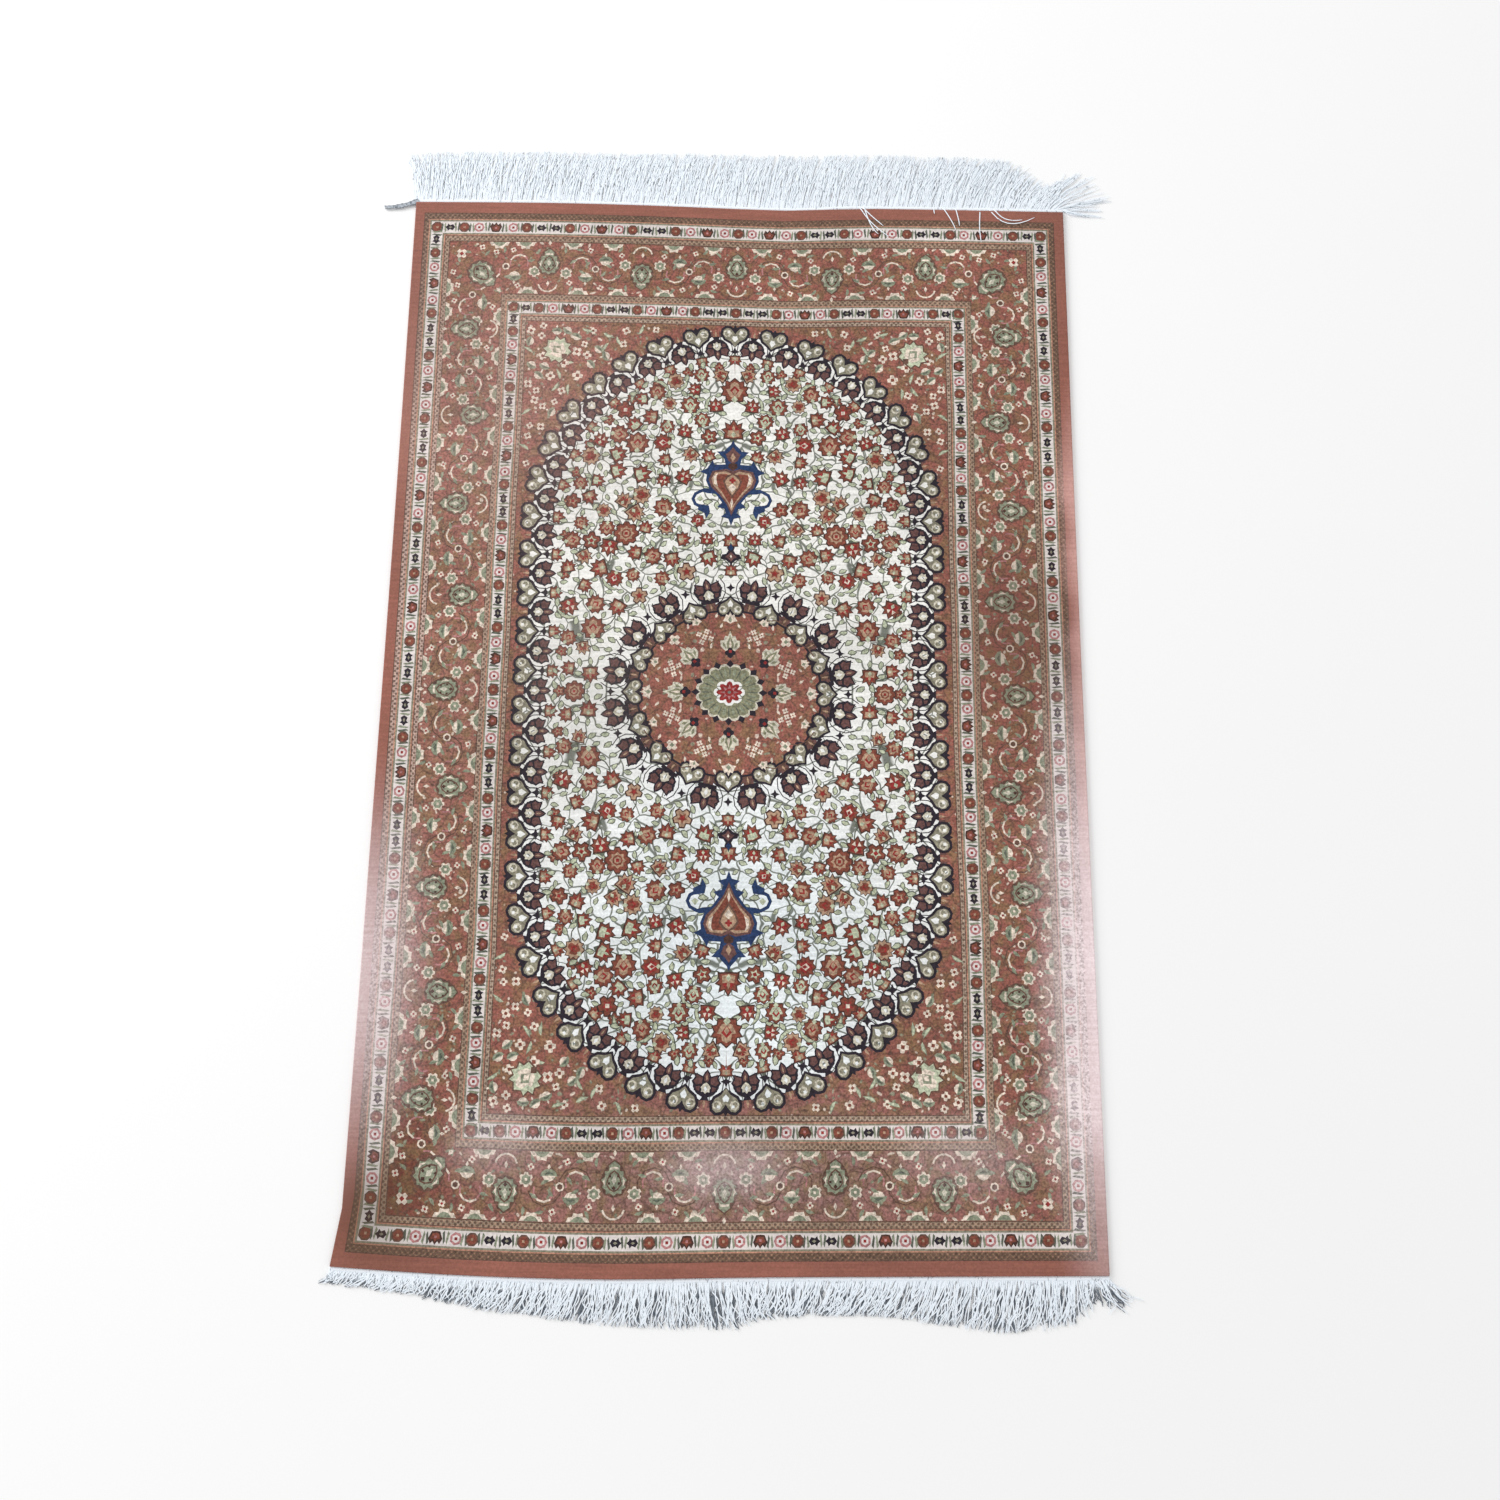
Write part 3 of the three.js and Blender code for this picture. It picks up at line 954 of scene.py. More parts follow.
def laid_out(flat, sizes):
    """Moves points of the true rectangle onto the uneven rug, with the drift of hand work inside it."""
    left, right, near, far = woven_edges(sizes)
    half_u, half_v = sizes.width / 2 / MM, sizes.length / 2 / MM
    x, y = flat[:, 0], flat[:, 1]
    pull_u, pull_v = np.abs(x / half_u), np.abs(y / half_v)
    inside = 1 - np.maximum(pull_u, pull_v) ** 4
    stray_u = np.where(x > 0, right(y) - half_u, left(y) + half_u) * pull_u**2
    stray_v = np.where(y > 0, far(x) - half_v, near(x) + half_v) * pull_v
    drift = -4 + 5 * np.clip(-y / 380, 0, 1) + 0.7 * np.sin(y / 61 + 0.7) + 0.4 * np.sin(x / 37 + y / 23)
    moved = flat.copy()
    moved[:, 0] += stray_u + drift * inside
    moved[:, 1] += stray_v + 0.6 * np.sin(x / 57 + 2.1) * inside
    return moved


def dyes_of(points, triangles, shapes, names):
    """The dye of each triangle: that of the last outline round its middle, or -1 outside the quarter."""
    middles = points[triangles].mean(axis=1)
    chosen = np.full(len(triangles), -1)
    for dye, shape in shapes:
        near = np.flatnonzero(
            (middles.real > shape.real.min()) & (middles.real < shape.real.max())
            & (middles.imag > shape.imag.min()) & (middles.imag < shape.imag.max())
        )
        x, y = middles[near].real, middles[near].imag
        rounds = np.zeros(len(near), int)
        for start, end in zip(shape, np.roll(shape, -1)):
            if start.imag == end.imag:
                continue
            crossed = (start.imag > y) != (end.imag > y)
            slope = (end.real - start.real) / (end.imag - start.imag)
            crossed &= x < start.real + (y - start.imag) * slope
            rounds[crossed] += 1 if end.imag > start.imag else -1
        chosen[near[rounds != 0]] = names.index(dye)
    quarter = (middles.real > 0) & (middles.imag > 0)
    return np.where(quarter, chosen, -1)


def dye_outlines(points, triangles, chosen):
    """The edges where two dyes meet, so that outlines hidden under later ones drop out."""
    sides = np.concatenate([triangles[:, [0, 1]], triangles[:, [1, 2]], triangles[:, [2, 0]]])
    sides = np.sort(sides, axis=1)
    key = sides[:, 0] * len(points) + sides[:, 1]
    order = np.argsort(key, kind="stable")
    key, sides, owner = key[order], sides[order], np.tile(chosen, 3)[order]
    paired = np.append(key[1:] == key[:-1], False)
    second = np.append(False, paired[:-1])
    differs = np.append(owner[1:] != owner[:-1], False)
    kept = sides[(paired & differs) | (~paired & ~second & (owner >= 0))]
    used, renumbered = np.unique(kept, return_inverse=True)
    return points[used], renumbered.reshape(-1, 2)


# Points of the plan nearer to each other than this, in millimetres, are one.
NEAREST_KNOTS = 0.02


def triangulated(points, edges):
    """Triangles over the points that keep every edge."""
    verts = [Vector((z.real, z.imag)) for z in points]
    pairs = [tuple(map(int, edge)) for edge in edges]
    found, _, triangles, *_ = delaunay_2d_cdt(verts, pairs, [], 0, NEAREST_KNOTS, False)
    return np.array([complex(p.x, p.y) for p in found]), np.array(triangles)


def gathered(items, field, width=1, kind=float):
    """A value of every item of a mesh, as an array."""
    found = np.empty(len(items) * width, kind)
    items.foreach_get(field, found)
    return found if width == 1 else found.reshape(-1, width)


def of_kind(made, kind):
    """The vertices, the edges or the faces among what a step has made."""
    return [item for item in made if isinstance(item, kind)]


def open_edges(made):
    return [edge for edge in of_kind(made, bmesh.types.BMEdge) if edge.is_boundary]


def dyed_triangles(shapes, names):
    """The quarter's points and triangles, and the dye of each triangle."""
    outlines = [shape for _, shape in shapes]
    edges, first = [], 0
    for shape in outlines:
        edges += [(first + i, first + (i + 1) % len(shape)) for i in range(len(shape))]
        first += len(shape)
    points, triangles = triangulated(np.concatenate(outlines), edges)
    points, edges = dye_outlines(points, triangles, dyes_of(points, triangles, shapes, names))
    points, triangles = triangulated(points, edges)
    return points, triangles, dyes_of(points, triangles, shapes, names)


def flat_half(sizes):
    """Half the width and half the length of the pile inside its rim, in millimetres."""
    rim = sizes.rim / MM
    return sizes.width / 2 / MM - rim, sizes.length / 2 / MM - rim


def close_rim(bm, layer, dye, sizes):
    """Rounds the rim down to the floor and closes the back, in one dye."""
    thick, rim = sizes.thickness / MM, sizes.rim / MM
    turns = np.radians([45, 90])
    rings = [(rim * math.sin(a), thick - rim * (1 - math.cos(a))) for a in turns]
    rings += [(out, thick - height) for out, height in reversed(rings)] + [(0.0, 0.0)]
    edges = open_edges(bm.edges)
    reach, slack = 0.0, 0.05
    for out, height in rings:
        made = bmesh.ops.extrude_edge_only(bm, edges=edges)["geom"]
        edges = open_edges(made)
        for vert in of_kind(made, bmesh.types.BMVert):
            for i, half in enumerate(flat_half(sizes)):
                if abs(vert.co[i]) > half + reach - slack:
                    vert.co[i] = math.copysign(half + out, vert.co[i])
            vert.co.z = height
        for face in of_kind(made, bmesh.types.BMFace):
            face[layer] = dye
            face.smooth = True
        reach = out
    back = bmesh.ops.edgeloop_fill(bm, edges=edges)["faces"]
    for face in back:
        face[layer] = dye
    bmesh.ops.triangulate(bm, faces=back)
    bmesh.ops.recalc_face_normals(bm, faces=bm.faces[:])


def paint_dyes(mesh, dyes, names):
    """Gives each corner of a face the colour of its dye and the mark of its ground."""
    sides = gathered(mesh.polygons, "loop_total", kind=np.int32)
    chosen = np.repeat(gathered(mesh.attributes["dye"].data, "value", kind=np.int32), sides)
    palette = np.array([opaque(getattr(dyes, name)) for name in names])
    paint = mesh.color_attributes.new("Dye", "FLOAT_COLOR", "CORNER")
    paint.data.foreach_set("color", palette[chosen].ravel())
    grounds = np.array([GROUNDS.get(name, 0.0) for name in names])
    mesh.attributes.new("Ground", "FLOAT", "CORNER").data.foreach_set("value", grounds[chosen])
    mesh.attributes.remove(mesh.attributes["dye"])


def knotted_mesh(sizes, dyes):
    """The rug as one closed mesh: the dyed quarter mirrored twice, its rounded rim and its back."""
    names = list(RugDyes.__annotations__)
    points, triangles, chosen = dyed_triangles(knotting_plan(sizes), names)
    bm = bmesh.new()
    layer = bm.faces.layers.int.new("dye")
    knots = [bm.verts.new((p.real, p.imag, sizes.thickness / MM)) for p in points]
    for triangle, dye in zip(triangles, chosen):
        if dye >= 0:
            bm.faces.new([knots[i] for i in triangle])[layer] = dye
    bmesh.ops.delete(bm, geom=[v for v in bm.verts if not v.link_faces], context="VERTS")
    for axis in "XY":
        bmesh.ops.mirror(bm, geom=bm.verts[:] + bm.edges[:] + bm.faces[:], axis=axis, merge_dist=0.01)
    close_rim(bm, layer, names.index("plain"), sizes)
    mesh = bpy.data.meshes.new("rug_pile")
    bm.to_mesh(mesh)
    bm.free()

    flat = gathered(mesh.vertices, "co", 3)
    map_rug(mesh, flat, sizes)
    mesh.vertices.foreach_set("co", (laid_out(flat, sizes) * MM).ravel())
    drawn = mesh.attributes.new("Plan", "FLOAT_VECTOR", "POINT")
    drawn.data.foreach_set("vector", (np.abs(flat) * MM).ravel())
    paint_dyes(mesh, dyes, names)
    mesh.update()
    return mesh


# The rug's map: the left, the foot, the width and the height of each part's room in it. The four strips
# of the rim lie one above the other.
PILE_ROOM = (0.005, 0.06, 0.99, 0.935)
BACK_ROOM = (0.005, 0.005, 0.3, 0.045)
RIM_ROOM = (0.32, 0.006, 0.67, 0.009)
RIM_STEP = 0.0125


def map_rug(mesh, flat, sizes):
    """A map of the rug: the pile fills most of it, and the rim and the back lie in strips below."""
    sides = gathered(mesh.polygons, "loop_total", kind=np.int32)
    lean = np.repeat(gathered(mesh.polygons, "normal", 3), sides, axis=0)
    x, y, z = flat[gathered(mesh.loops, "vertex_index", kind=np.int32)].T
    half_u, half_v = flat_half(sizes)
    u, v, rise = x / (half_u * 2) + 0.5, y / (half_v * 2) + 0.5, z / (sizes.thickness / MM)

    def placed(room, along, up):
        left, foot, width, height = room
        return np.stack([left + width * along, foot + height * up], 1)

    spots = placed(PILE_ROOM, u, v)
    back = lean[:, 2] < -0.99
    spots[back] = placed(BACK_ROOM, u, v)[back]
    for number, (axis, along, way) in enumerate(((0, v, 1), (0, v, -1), (1, u, 1), (1, u, -1))):
        here = (np.abs(lean[:, 2]) <= 0.99) & (lean[:, axis] * way > 0.2)
        strip = placed(RIM_ROOM, along, rise) + (0, RIM_STEP * number)
        spots[here] = strip[here]
    layer = mesh.uv_layers.new(name="OFBake")
    layer.data.foreach_set("uv", np.clip(spots, 0, 1).ravel())


def node(tree, kind, inputs=None, **settings):
    """Adds a node with its settings, and gives each input a value or a link."""
    added = tree.nodes.new(kind)
    for name, value in settings.items():
        setattr(added, name, value)
    for key, value in (inputs or {}).items():
        if isinstance(value, bpy.types.NodeSocket):
            tree.links.new(value, added.inputs[key])
        else:
            added.inputs[key].default_value = value
    return added


def new_material(name):
    material = bpy.data.materials.new(name)
    material.use_nodes = True
    material.node_tree.nodes.clear()
    return material, material.node_tree


def surface(tree, inputs):
    """Ends a material with the shader that has these inputs."""
    shader = node(tree, "ShaderNodeBsdfPrincipled", inputs)
    node(tree, "ShaderNodeOutputMaterial", {"Surface": shader.outputs[0]})


def object_place(tree):
    return node(tree, "ShaderNodeTexCoord").outputs["Object"]


def attribute(tree, name, output):
    return node(tree, "ShaderNodeAttribute", attribute_name=name).outputs[output]


def noise(tree, where, size, detail):
    """Noise with lumps of this size in metres."""
    inputs = {"Vector": where, "Scale": 1 / size, "Detail": detail}
    return node(tree, "ShaderNodeTexNoise", inputs).outputs


def maths(tree, operation, *values, **settings):
    inputs = dict(enumerate(values))
    return node(tree, "ShaderNodeMath", inputs, operation=operation, **settings).outputs[0]


def ramp(tree, value, low, high, start, end, **settings):
    """Takes a value between low and high to one between start and end."""
    inputs = {"Value": value, 1: low, 2: high, 3: start, 4: end}
    return node(tree, "ShaderNodeMapRange", inputs, **settings).outputs[0]


def layered(tree, cover, under, over, **settings):
    """One colour laid over another as far as it covers."""
    inputs = {"Factor": cover, 6: under, 7: over}
    return node(tree, "ShaderNodeMix", inputs, data_type="RGBA", **settings).outputs[2]


def bumped(tree, height, strength, distance):
    inputs = {"Strength": strength, "Distance": distance, "Height": height}
    return node(tree, "ShaderNodeBump", inputs).outputs[0]


def opaque(dye):
    return (*dye, 1.0)


# Marks by which the material tells the grounds apart.
GROUNDS = {
    "terracotta": 1.0, "plain": 0.7, "ivory": 0.5, "white": 0.4, "bark": 0.2, "beige": 0.2, "sand": 0.2,
}
# How far the outline of a patch of painted sheen and shade strays, in metres.
SHEEN_PATCH_STRAY = 0.08
# Painted sheen and painted shade, in patches where the nap would lean to the light or away from it: the
# middle of a patch and its reach both ways in metres, its tone, and how far it covers the dye.
SHEEN_AND_SHADE_PATCHES = [
    ((0.515, -0.38), (0.12, 0.58), "#fbe9ec", 0.95),
    ((0.51, 0.10), (0.045, 0.48), "#ecbdb5", 0.8),
    ((-0.51, -0.40), (0.13, 0.34), "#e8d6d8", 0.75),
    ((-0.34, 0.46), (0.30, 0.36), "#c9a8a0", 0.2),
    ((0.40, 0.08), (0.12, 0.26), "#55352b", 0.4),
    ((-0.46, -0.70), (0.09, 0.11), "#4b3423", 0.5),
    ((0.0, -0.635), (0.12, 0.06), "#dccacb", 0.4),
    ((-0.30, -0.62), (0.10, 0.07), "#dccacb", 0.3),
    ((0.33, -0.62), (0.14, 0.08), "#dccacb", 0.25),
    ((-0.22, 0.02), (0.14, 0.24), "#857a72", 0.2),
]
# Painted sheen and painted shade of the same kind, on the terracotta ground alone.
TERRACOTTA_SHEEN_AND_SHADE = [
    ((0.02, -0.65), (0.56, 0.16), "#96827f", 0.55),
    ((-0.40, 0.0), (0.12, 0.5), "#a2766a", 0.5),
    ((0.30, -0.50), (0.14, 0.14), "#5a3f35", 0.4),
    ((-0.43, -0.66), (0.13, 0.14), "#6b3a2c", 0.85),
]
# A painted cool reflection on the ivory ground alone.
IVORY_REFLECTION_PATCHES = [((0.0, -0.38), (0.5, 0.5), "#e7f0f4", 0.8)]
# And painted sheen on the guard stripes alone.
GUARD_SHEEN_PATCHES = [((-0.46, 0.12), (0.16, 0.8), "#cbb1a7", 0.8)]


def painted_sheen_and_shade(tree, toned, ragged, weight, patches):
    """Paints soft patches of sheen and shade, each of another tone, over a colour."""
    for (x, y), (wide, high), tint, share in patches:
        middle = (x + SHEEN_PATCH_STRAY / 2, y + SHEEN_PATCH_STRAY / 2, 0)
        inputs = {"Vector": ragged, "Location": middle, "Scale": (wide, high, 1)}
        spot = node(tree, "ShaderNodeMapping", inputs, vector_type="TEXTURE").outputs[0]
        distance = node(tree, "ShaderNodeVectorMath", {0: spot}, operation="LENGTH").outputs["Value"]
        cover = ramp(tree, distance, 0.0, 1.0, share, 0.0, interpolation_type="SMOOTHSTEP")
        cover = maths(tree, "MULTIPLY", cover, weight, use_clamp=True)
        toned = layered(tree, cover, toned, opaque(linear(tint)))
    return toned


def strayed(tree, where, drift, reach):
    """A place moved by noise, by up to the reach along x and along y."""
    inputs = {0: drift, 1: (reach, reach, 0), 2: where}
    return node(tree, "ShaderNodeVectorMath", inputs, operation="MULTIPLY_ADD").outputs[0]


def stems_round(tree, drawn, space, thickness, strength):
    """Lines of this thickness round spaces of this size."""
    away = node(
        tree, "ShaderNodeTexVoronoi", {"Vector": drawn, "Scale": 1 / space}, feature="DISTANCE_TO_EDGE"
    ).outputs["Distance"]
    edge = thickness / 2 / space
    return ramp(tree, away, edge * 0.6, edge * 1.4, strength, 0.0)


def fine_drawing(tree, dyes, toned, on_terracotta, on_ivory, on_guard):
    """Lays on each ground what is too fine for an outline: dye lots, stems, sprigs and dots."""
    plan = attribute(tree, "Plan", "Vector")
    # Dye lots of the terracotta turn olive in patches 18 mm across.
    lots = ramp(tree, noise(tree, plan, 0.018, 2.0)["Fac"], 0.44, 0.62, 0.0, 0.6)
    # The hand bends every line by up to 10 mm over 25 mm.
    drawn = strayed(tree, plan, noise(tree, plan, 0.025, 1.0)["Color"], 0.02)
    # Stems 1.6 mm thick wind round spaces of 30 mm on the ivory and 20 mm on the terracotta.
    ivory_stems = stems_round(tree, drawn, 0.03, 0.0016, 0.9)
    terracotta_stems = stems_round(tree, drawn, 0.02, 0.0016, 0.6)
    # Sprigs 4.6 mm across stand every 10 mm on the terracotta, green, cream or umber.
    sprigs = node(tree, "ShaderNodeTexVoronoi", {"Vector": drawn, "Scale": 1 / 0.01}).outputs
    spots = ramp(tree, sprigs["Distance"], 0.18, 0.28, 0.8, 0.0)
    kind = node(tree, "ShaderNodeSeparateColor", {0: sprigs["Color"]}).outputs
    sprig_dye = opaque(dyes.green)
    for number, share, dye in ((0, 0.6, dyes.cream), (1, 0.7, dyes.umber)):
        chosen = maths(tree, "GREATER_THAN", kind[number], share)
        sprig_dye = layered(tree, chosen, sprig_dye, opaque(dye))
    # The guard stripes' dark dots are 3.6 mm across, in slanting rows 5.2 mm apart, with peach between.
    slanted = node(tree, "ShaderNodeMapping", {"Vector": plan, "Rotation": (0, 0, math.radians(45))})
    dots = node(tree, "ShaderNodeTexVoronoi", {
        "Vector": slanted.outputs[0], "Scale": 1 / 0.0052, "Randomness": 0.12,
    }, voronoi_dimensions="2D").outputs["Distance"]
    dark_dots = ramp(tree, dots, 0.28, 0.42, 0.85, 0.0)
    peach_dots = ramp(tree, dots, 0.5, 0.6, 0.0, 0.5)
    for mask, cover, over in (
        (on_terracotta, lots, opaque(linear("#816c4b"))), (on_ivory, ivory_stems, opaque(dyes.sage)),
        (on_terracotta, terracotta_stems, opaque(dyes.umber)), (on_terracotta, spots, sprig_dye),
        (on_guard, peach_dots, opaque(dyes.peach)), (on_guard, dark_dots, opaque(dyes.umber)),
    ):
        toned = layered(tree, maths(tree, "MULTIPLY", mask, cover), toned, over)
    return toned


def silk_pile(dyes):
    """Clipped silk pile, knotted row by row: dyed grounds with their fine drawing, a grain of knots,
    streaks along each row where the dye lots change, and painted sheen and painted shade in patches where
    the nap would lean to the light or away from it."""
    material, tree = new_material("clipped_silk_pile")
    place = object_place(tree)
    ground, toned = attribute(tree, "Ground", "Fac"), attribute(tree, "Dye", "Color")
    # The pale grounds, ivory and white, lie either side of one mark.
    marks = ((1.0, 0.1), (0.7, 0.05), (0.5, 0.03), (0.45, 0.08), (0.2, 0.1))
    on_terracotta, on_plain, on_ivory, on_pale, on_guard = (
        maths(tree, "COMPARE", ground, mark, slack) for mark, slack in marks
    )
    # Painted sheen and shade: noise a hand or two across lightens and darkens the pile where the nap would
    # lean one way, and strays the outlines of the painted patches up to 40 mm out of true.
    sheen_noise = noise(tree, place, 0.22, 3.0)
    ragged = strayed(tree, place, sheen_noise["Color"], SHEEN_PATCH_STRAY)
    # Painted sheen and painted shade in patches, each table on its own ground.
    toned = painted_sheen_and_shade(tree, toned, ragged, on_terracotta, TERRACOTTA_SHEEN_AND_SHADE)
    toned = painted_sheen_and_shade(tree, toned, ragged, on_ivory, IVORY_REFLECTION_PATCHES)
    toned = painted_sheen_and_shade(tree, toned, ragged, on_guard, GUARD_SHEEN_PATCHES)
    toned = fine_drawing(tree, dyes, toned, on_terracotta, on_ivory, on_guard)
    # A knot is under 1 mm wide, drawn 3 mm wide here so that it shows.
    knots = noise(tree, place, 0.003, 2.0)["Fac"]
    # Rows of knots lie across the rug; their streaks are 4 mm high and some 120 mm long.
    along_rows = node(tree, "ShaderNodeMapping", {"Vector": place, "Scale": (1 / 0.12, 1 / 0.004, 1.0)})
    rows = noise(tree, along_rows.outputs[0], 1.0, 2.0)["Fac"]
    # The grain is weaker on pale grounds and on the plain stripe.
    calm = maths(tree, "MAXIMUM", on_pale, on_plain)
    lowest = ramp(tree, calm, 0.0, 1.0, 0.58, 0.86)
    highest = ramp(tree, calm, 0.0, 1.0, 1.36, 1.1)
    tone = ramp(tree, knots, 0.3, 0.7, lowest, highest)
    # The row streaks are dye lots; the sheen noise paints lighter and darker sheen.
    for value, low, high in ((rows, 0.88, 1.12), (sheen_noise["Fac"], 0.87, 1.13)):
        tone = maths(tree, "MULTIPLY", tone, ramp(tree, value, 0.28, 0.72, low, high))
    toned = layered(tree, 1.0, toned, tone, blend_type="MULTIPLY")
    # Painted sheen and painted shade in patches over every ground.
    toned = painted_sheen_and_shade(tree, toned, ragged, tone, SHEEN_AND_SHADE_PATCHES)
    surface(tree, {
        "Base Color": toned, "Roughness": ramp(tree, sheen_noise["Fac"], 0.0, 1.0, 0.55, 0.75),
        "Normal": bumped(tree, knots, 0.35, 0.0008), "Specular IOR Level": 0.2,
        "Sheen Weight": 0.05, "Sheen Roughness": 0.4,
    })
    return material


def warp_silk(fringe):
    """Bleached silk warp ends: fine twisted strands, bright on top, with painted shade where they part and
    on the strands that lie deep.
    """
    material, tree = new_material("bleached_silk_warp")
    place = object_place(tree)
    # Painted shade in flecks 3 mm wide and 7 mm long, where the strands part and the gaps lie in shadow.
    strewn = node(tree, "ShaderNodeMapping", {"Vector": place, "Scale": (1 / 0.003, 1 / 0.007, 1.0)})
    flecks = noise(tree, strewn.outputs[0], 1.0, 1.0)["Fac"]
    painted_gap_shade = ramp(tree, flecks, 0.62, 0.72, 0.0, 0.55)
    tone = maths(tree, "SUBTRACT", attribute(tree, "ShadeAndTone", "Fac"), painted_gap_shade, use_clamp=True)
    # The ply of a strand turns about every 1.5 mm.
    ply = noise(tree, place, 0.0015, 1.0)["Fac"]
    # The bleached silk is mixed towards its painted shade as the tone falls.
    surface(tree, {
        "Base Color": layered(tree, tone, opaque(fringe.shade), opaque(fringe.light)), "Roughness": 0.6,
        "Normal": bumped(tree, ply, 0.2, 0.0004), "Specular IOR Level": 0.3,
        "Sheen Weight": 0.4, "Sheen Roughness": 0.4,
    })
    return material


def add_piece(name, mesh, material, stands_for):
    piece = bpy.data.objects.new(name, mesh)
    bpy.context.collection.objects.link(piece)
    piece.data.materials.append(material)
    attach(piece, "root")
    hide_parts(stands_for)
    return piece


class RUG_OT_knot_pile(Operator):
    """Knot the rug: its stripes, its oval field, its medallion and its rounded rim"""

    bl_idname = "rug.knot_pile"
    bl_label = "Knot the pile"

    def execute(self, context):
        scene = context.scene
        mesh = knotted_mesh(scene.rug_sizes, scene.rug_dyes)
        add_piece("rug_pile", mesh, silk_pile(scene.rug_dyes), "rug")
        return {"FINISHED"}


# How the locks lie at places along each end, in millimetres: the place, and how far the tip lies
# outwards from the pile's edge and sideways from the root.
FAR_LOCKS = [
    (-498, 82, -16), (-490, 84, -14), (-470, 88, -4), (-420, 88, 10), (-200, 89, 18), (80, 95, 20),
    (300, 91, 28), (385, 87, 35), (415, 68, 25), (437, 51, 24), (452, 45, 32), (465, 58, 43),
    (475, 69, 57), (483, 49, 70), (490, 21, 80), (498, -6, 60),
]
NEAR_LOCKS = [
    (-505, 20, -8), (-380, 26, -8), (-300, 39, -12), (-225, 44, -14), (-148, 53, -10), (-60, 59, 0),
    (0, 60, 8), (40, 50, 4), (110, 46, -14), (218, 46, -22), (300, 56, -20), (371, 66, -12),
    (430, 62, -6), (455, 55, -4), (472, 36, -2), (480, 30, 4), (490, 44, 18), (498, 30, 22),
]
# Loose ends that lie back over the pile: the root, then how far the middle and the tip lie inwards
# from the edge and sideways from the root.
LOOSE_ENDS = [
    (185, 22, 14, 48, 45), (188, 14, 18, 30, 34), (192, 30, 10, 44, 22), (300, 4, 0, 8, 1),
    (313, 14, 14, 35, 20), (333, 16, 6, 28, 6), (372, 30, -4, 55, 0), (385, 34, 22, 12, 70),
    (392, 20, 14, 16, 44),
]
# Rings of three points along a strand.
RINGS = 9
# The fringe's map: how many strands lie side by side, and the share that the web takes up.
MAP_COLUMNS = 6
WEB_STRIP = 0.03


def strand_tube():
    """A three-sided strand one unit long, closed at both ends, with its rings along y."""
    bm = bmesh.new()
    bmesh.ops.create_circle(bm, cap_ends=True, segments=3, radius=1)
    for vert in bm.verts:
        vert.co = (vert.co.x, 0, -vert.co.y)
    edges = bm.edges[:]
    for _ in range(RINGS - 1):
        made = bmesh.ops.extrude_edge_only(bm, edges=edges)["geom"]
        edges = open_edges(made)
        bmesh.ops.translate(bm, verts=of_kind(made, bmesh.types.BMVert), vec=(0, 1 / (RINGS - 1), 0))
    bmesh.ops.edgeloop_fill(bm, edges=edges)
    bmesh.ops.recalc_face_normals(bm, faces=bm.faces[:])
    bmesh.ops.triangulate(bm, faces=bm.faces[:])
    bm.verts.index_update()
    places = np.array([vert.co for vert in bm.verts])
    faces = np.array([[vert.index for vert in face.verts] for face in bm.faces])
    bm.free()
    return places, faces


def lock_paths(fringe, rng, table, edge, outwards, deep_shade):
    """Centre lines of all strands of one fringe, in millimetres, and how bright each is along itself: a
    share of the strands lies deep and gets painted shade past the roots, which are left bright."""
    table = np.array(table, float)
    count, strands = fringe.locks, fringe.strands
    roots = np.linspace(table[0, 0], table[-1, 0], count)
    pitch = (table[-1, 0] - table[0, 0]) / (count - 1)
    share = np.linspace(0, 1, RINGS)
    lock = np.repeat(np.arange(count), strands)
    total = count * strands
    # Roots overlap a little from lock to lock, and the tips are ragged by a twentieth of the length.
    x0 = roots[lock] + pitch * 0.55 * rng.uniform(-1, 1, total)
    ragged = 1 + rng.normal(0, 0.03, count)[lock] + rng.normal(0, 0.05, total)
    out = np.interp(x0, table[:, 0], table[:, 1]) * np.clip(ragged, 0.75, 1.05)
    side = np.interp(x0, table[:, 0], table[:, 2])
    side = side + rng.normal(0, 2.5, count)[lock] + rng.normal(0, 8, total)
    base = fringe.web / MM * 0.75
    along = (out - base)[:, None] * share
    bend = side[:, None] * (0.6 * share + 0.4 * share**2)
    # A strand crinkles by about 2 mm in one or two waves, and its tip curls by about 4 mm.
    waves = rng.uniform(7, 15, (total, 1)) * share + rng.uniform(0, 6, (total, 1))
    crinkle = rng.normal(0, 2, (total, 1)) * np.sin(waves) * np.minimum(1, 3 * share)
    curl = rng.normal(0, 4, (total, 1)) * share**4
    x = x0[:, None] + bend + crinkle + curl
    y = edge(x0)[:, None] + outwards * (base + along) + 0.6 * crinkle[:, ::-1] * share
    # Strands lie up to 3.2 mm high and sink to the floor at both ends.
    height = rng.uniform(0, 1, (total, 1))
    layer = 0.8 + 2.4 * height
    z = 0.9 + (layer - 0.9) * np.sin(math.pi * np.clip(share * 0.8 + 0.12, 0, 1))
    z += 0.4 * np.sin(waves * 1.3) * share
    # Painted shade on the deep strands, lifted near the roots; every strand's tone also differs a little
    # at random.
    deep_share, shade_depth = deep_shade
    tone = np.where(height < deep_share, 1 - shade_depth, 1.0) + rng.normal(0, 0.05, (total, 1))
    near_root = np.clip((13 - np.abs(along)) / 6, 0, 1)
    tone = tone + (1 - tone) * near_root
    return np.stack([x, y, np.maximum(z, 0.8)], -1), np.clip(tone, 0, 1)


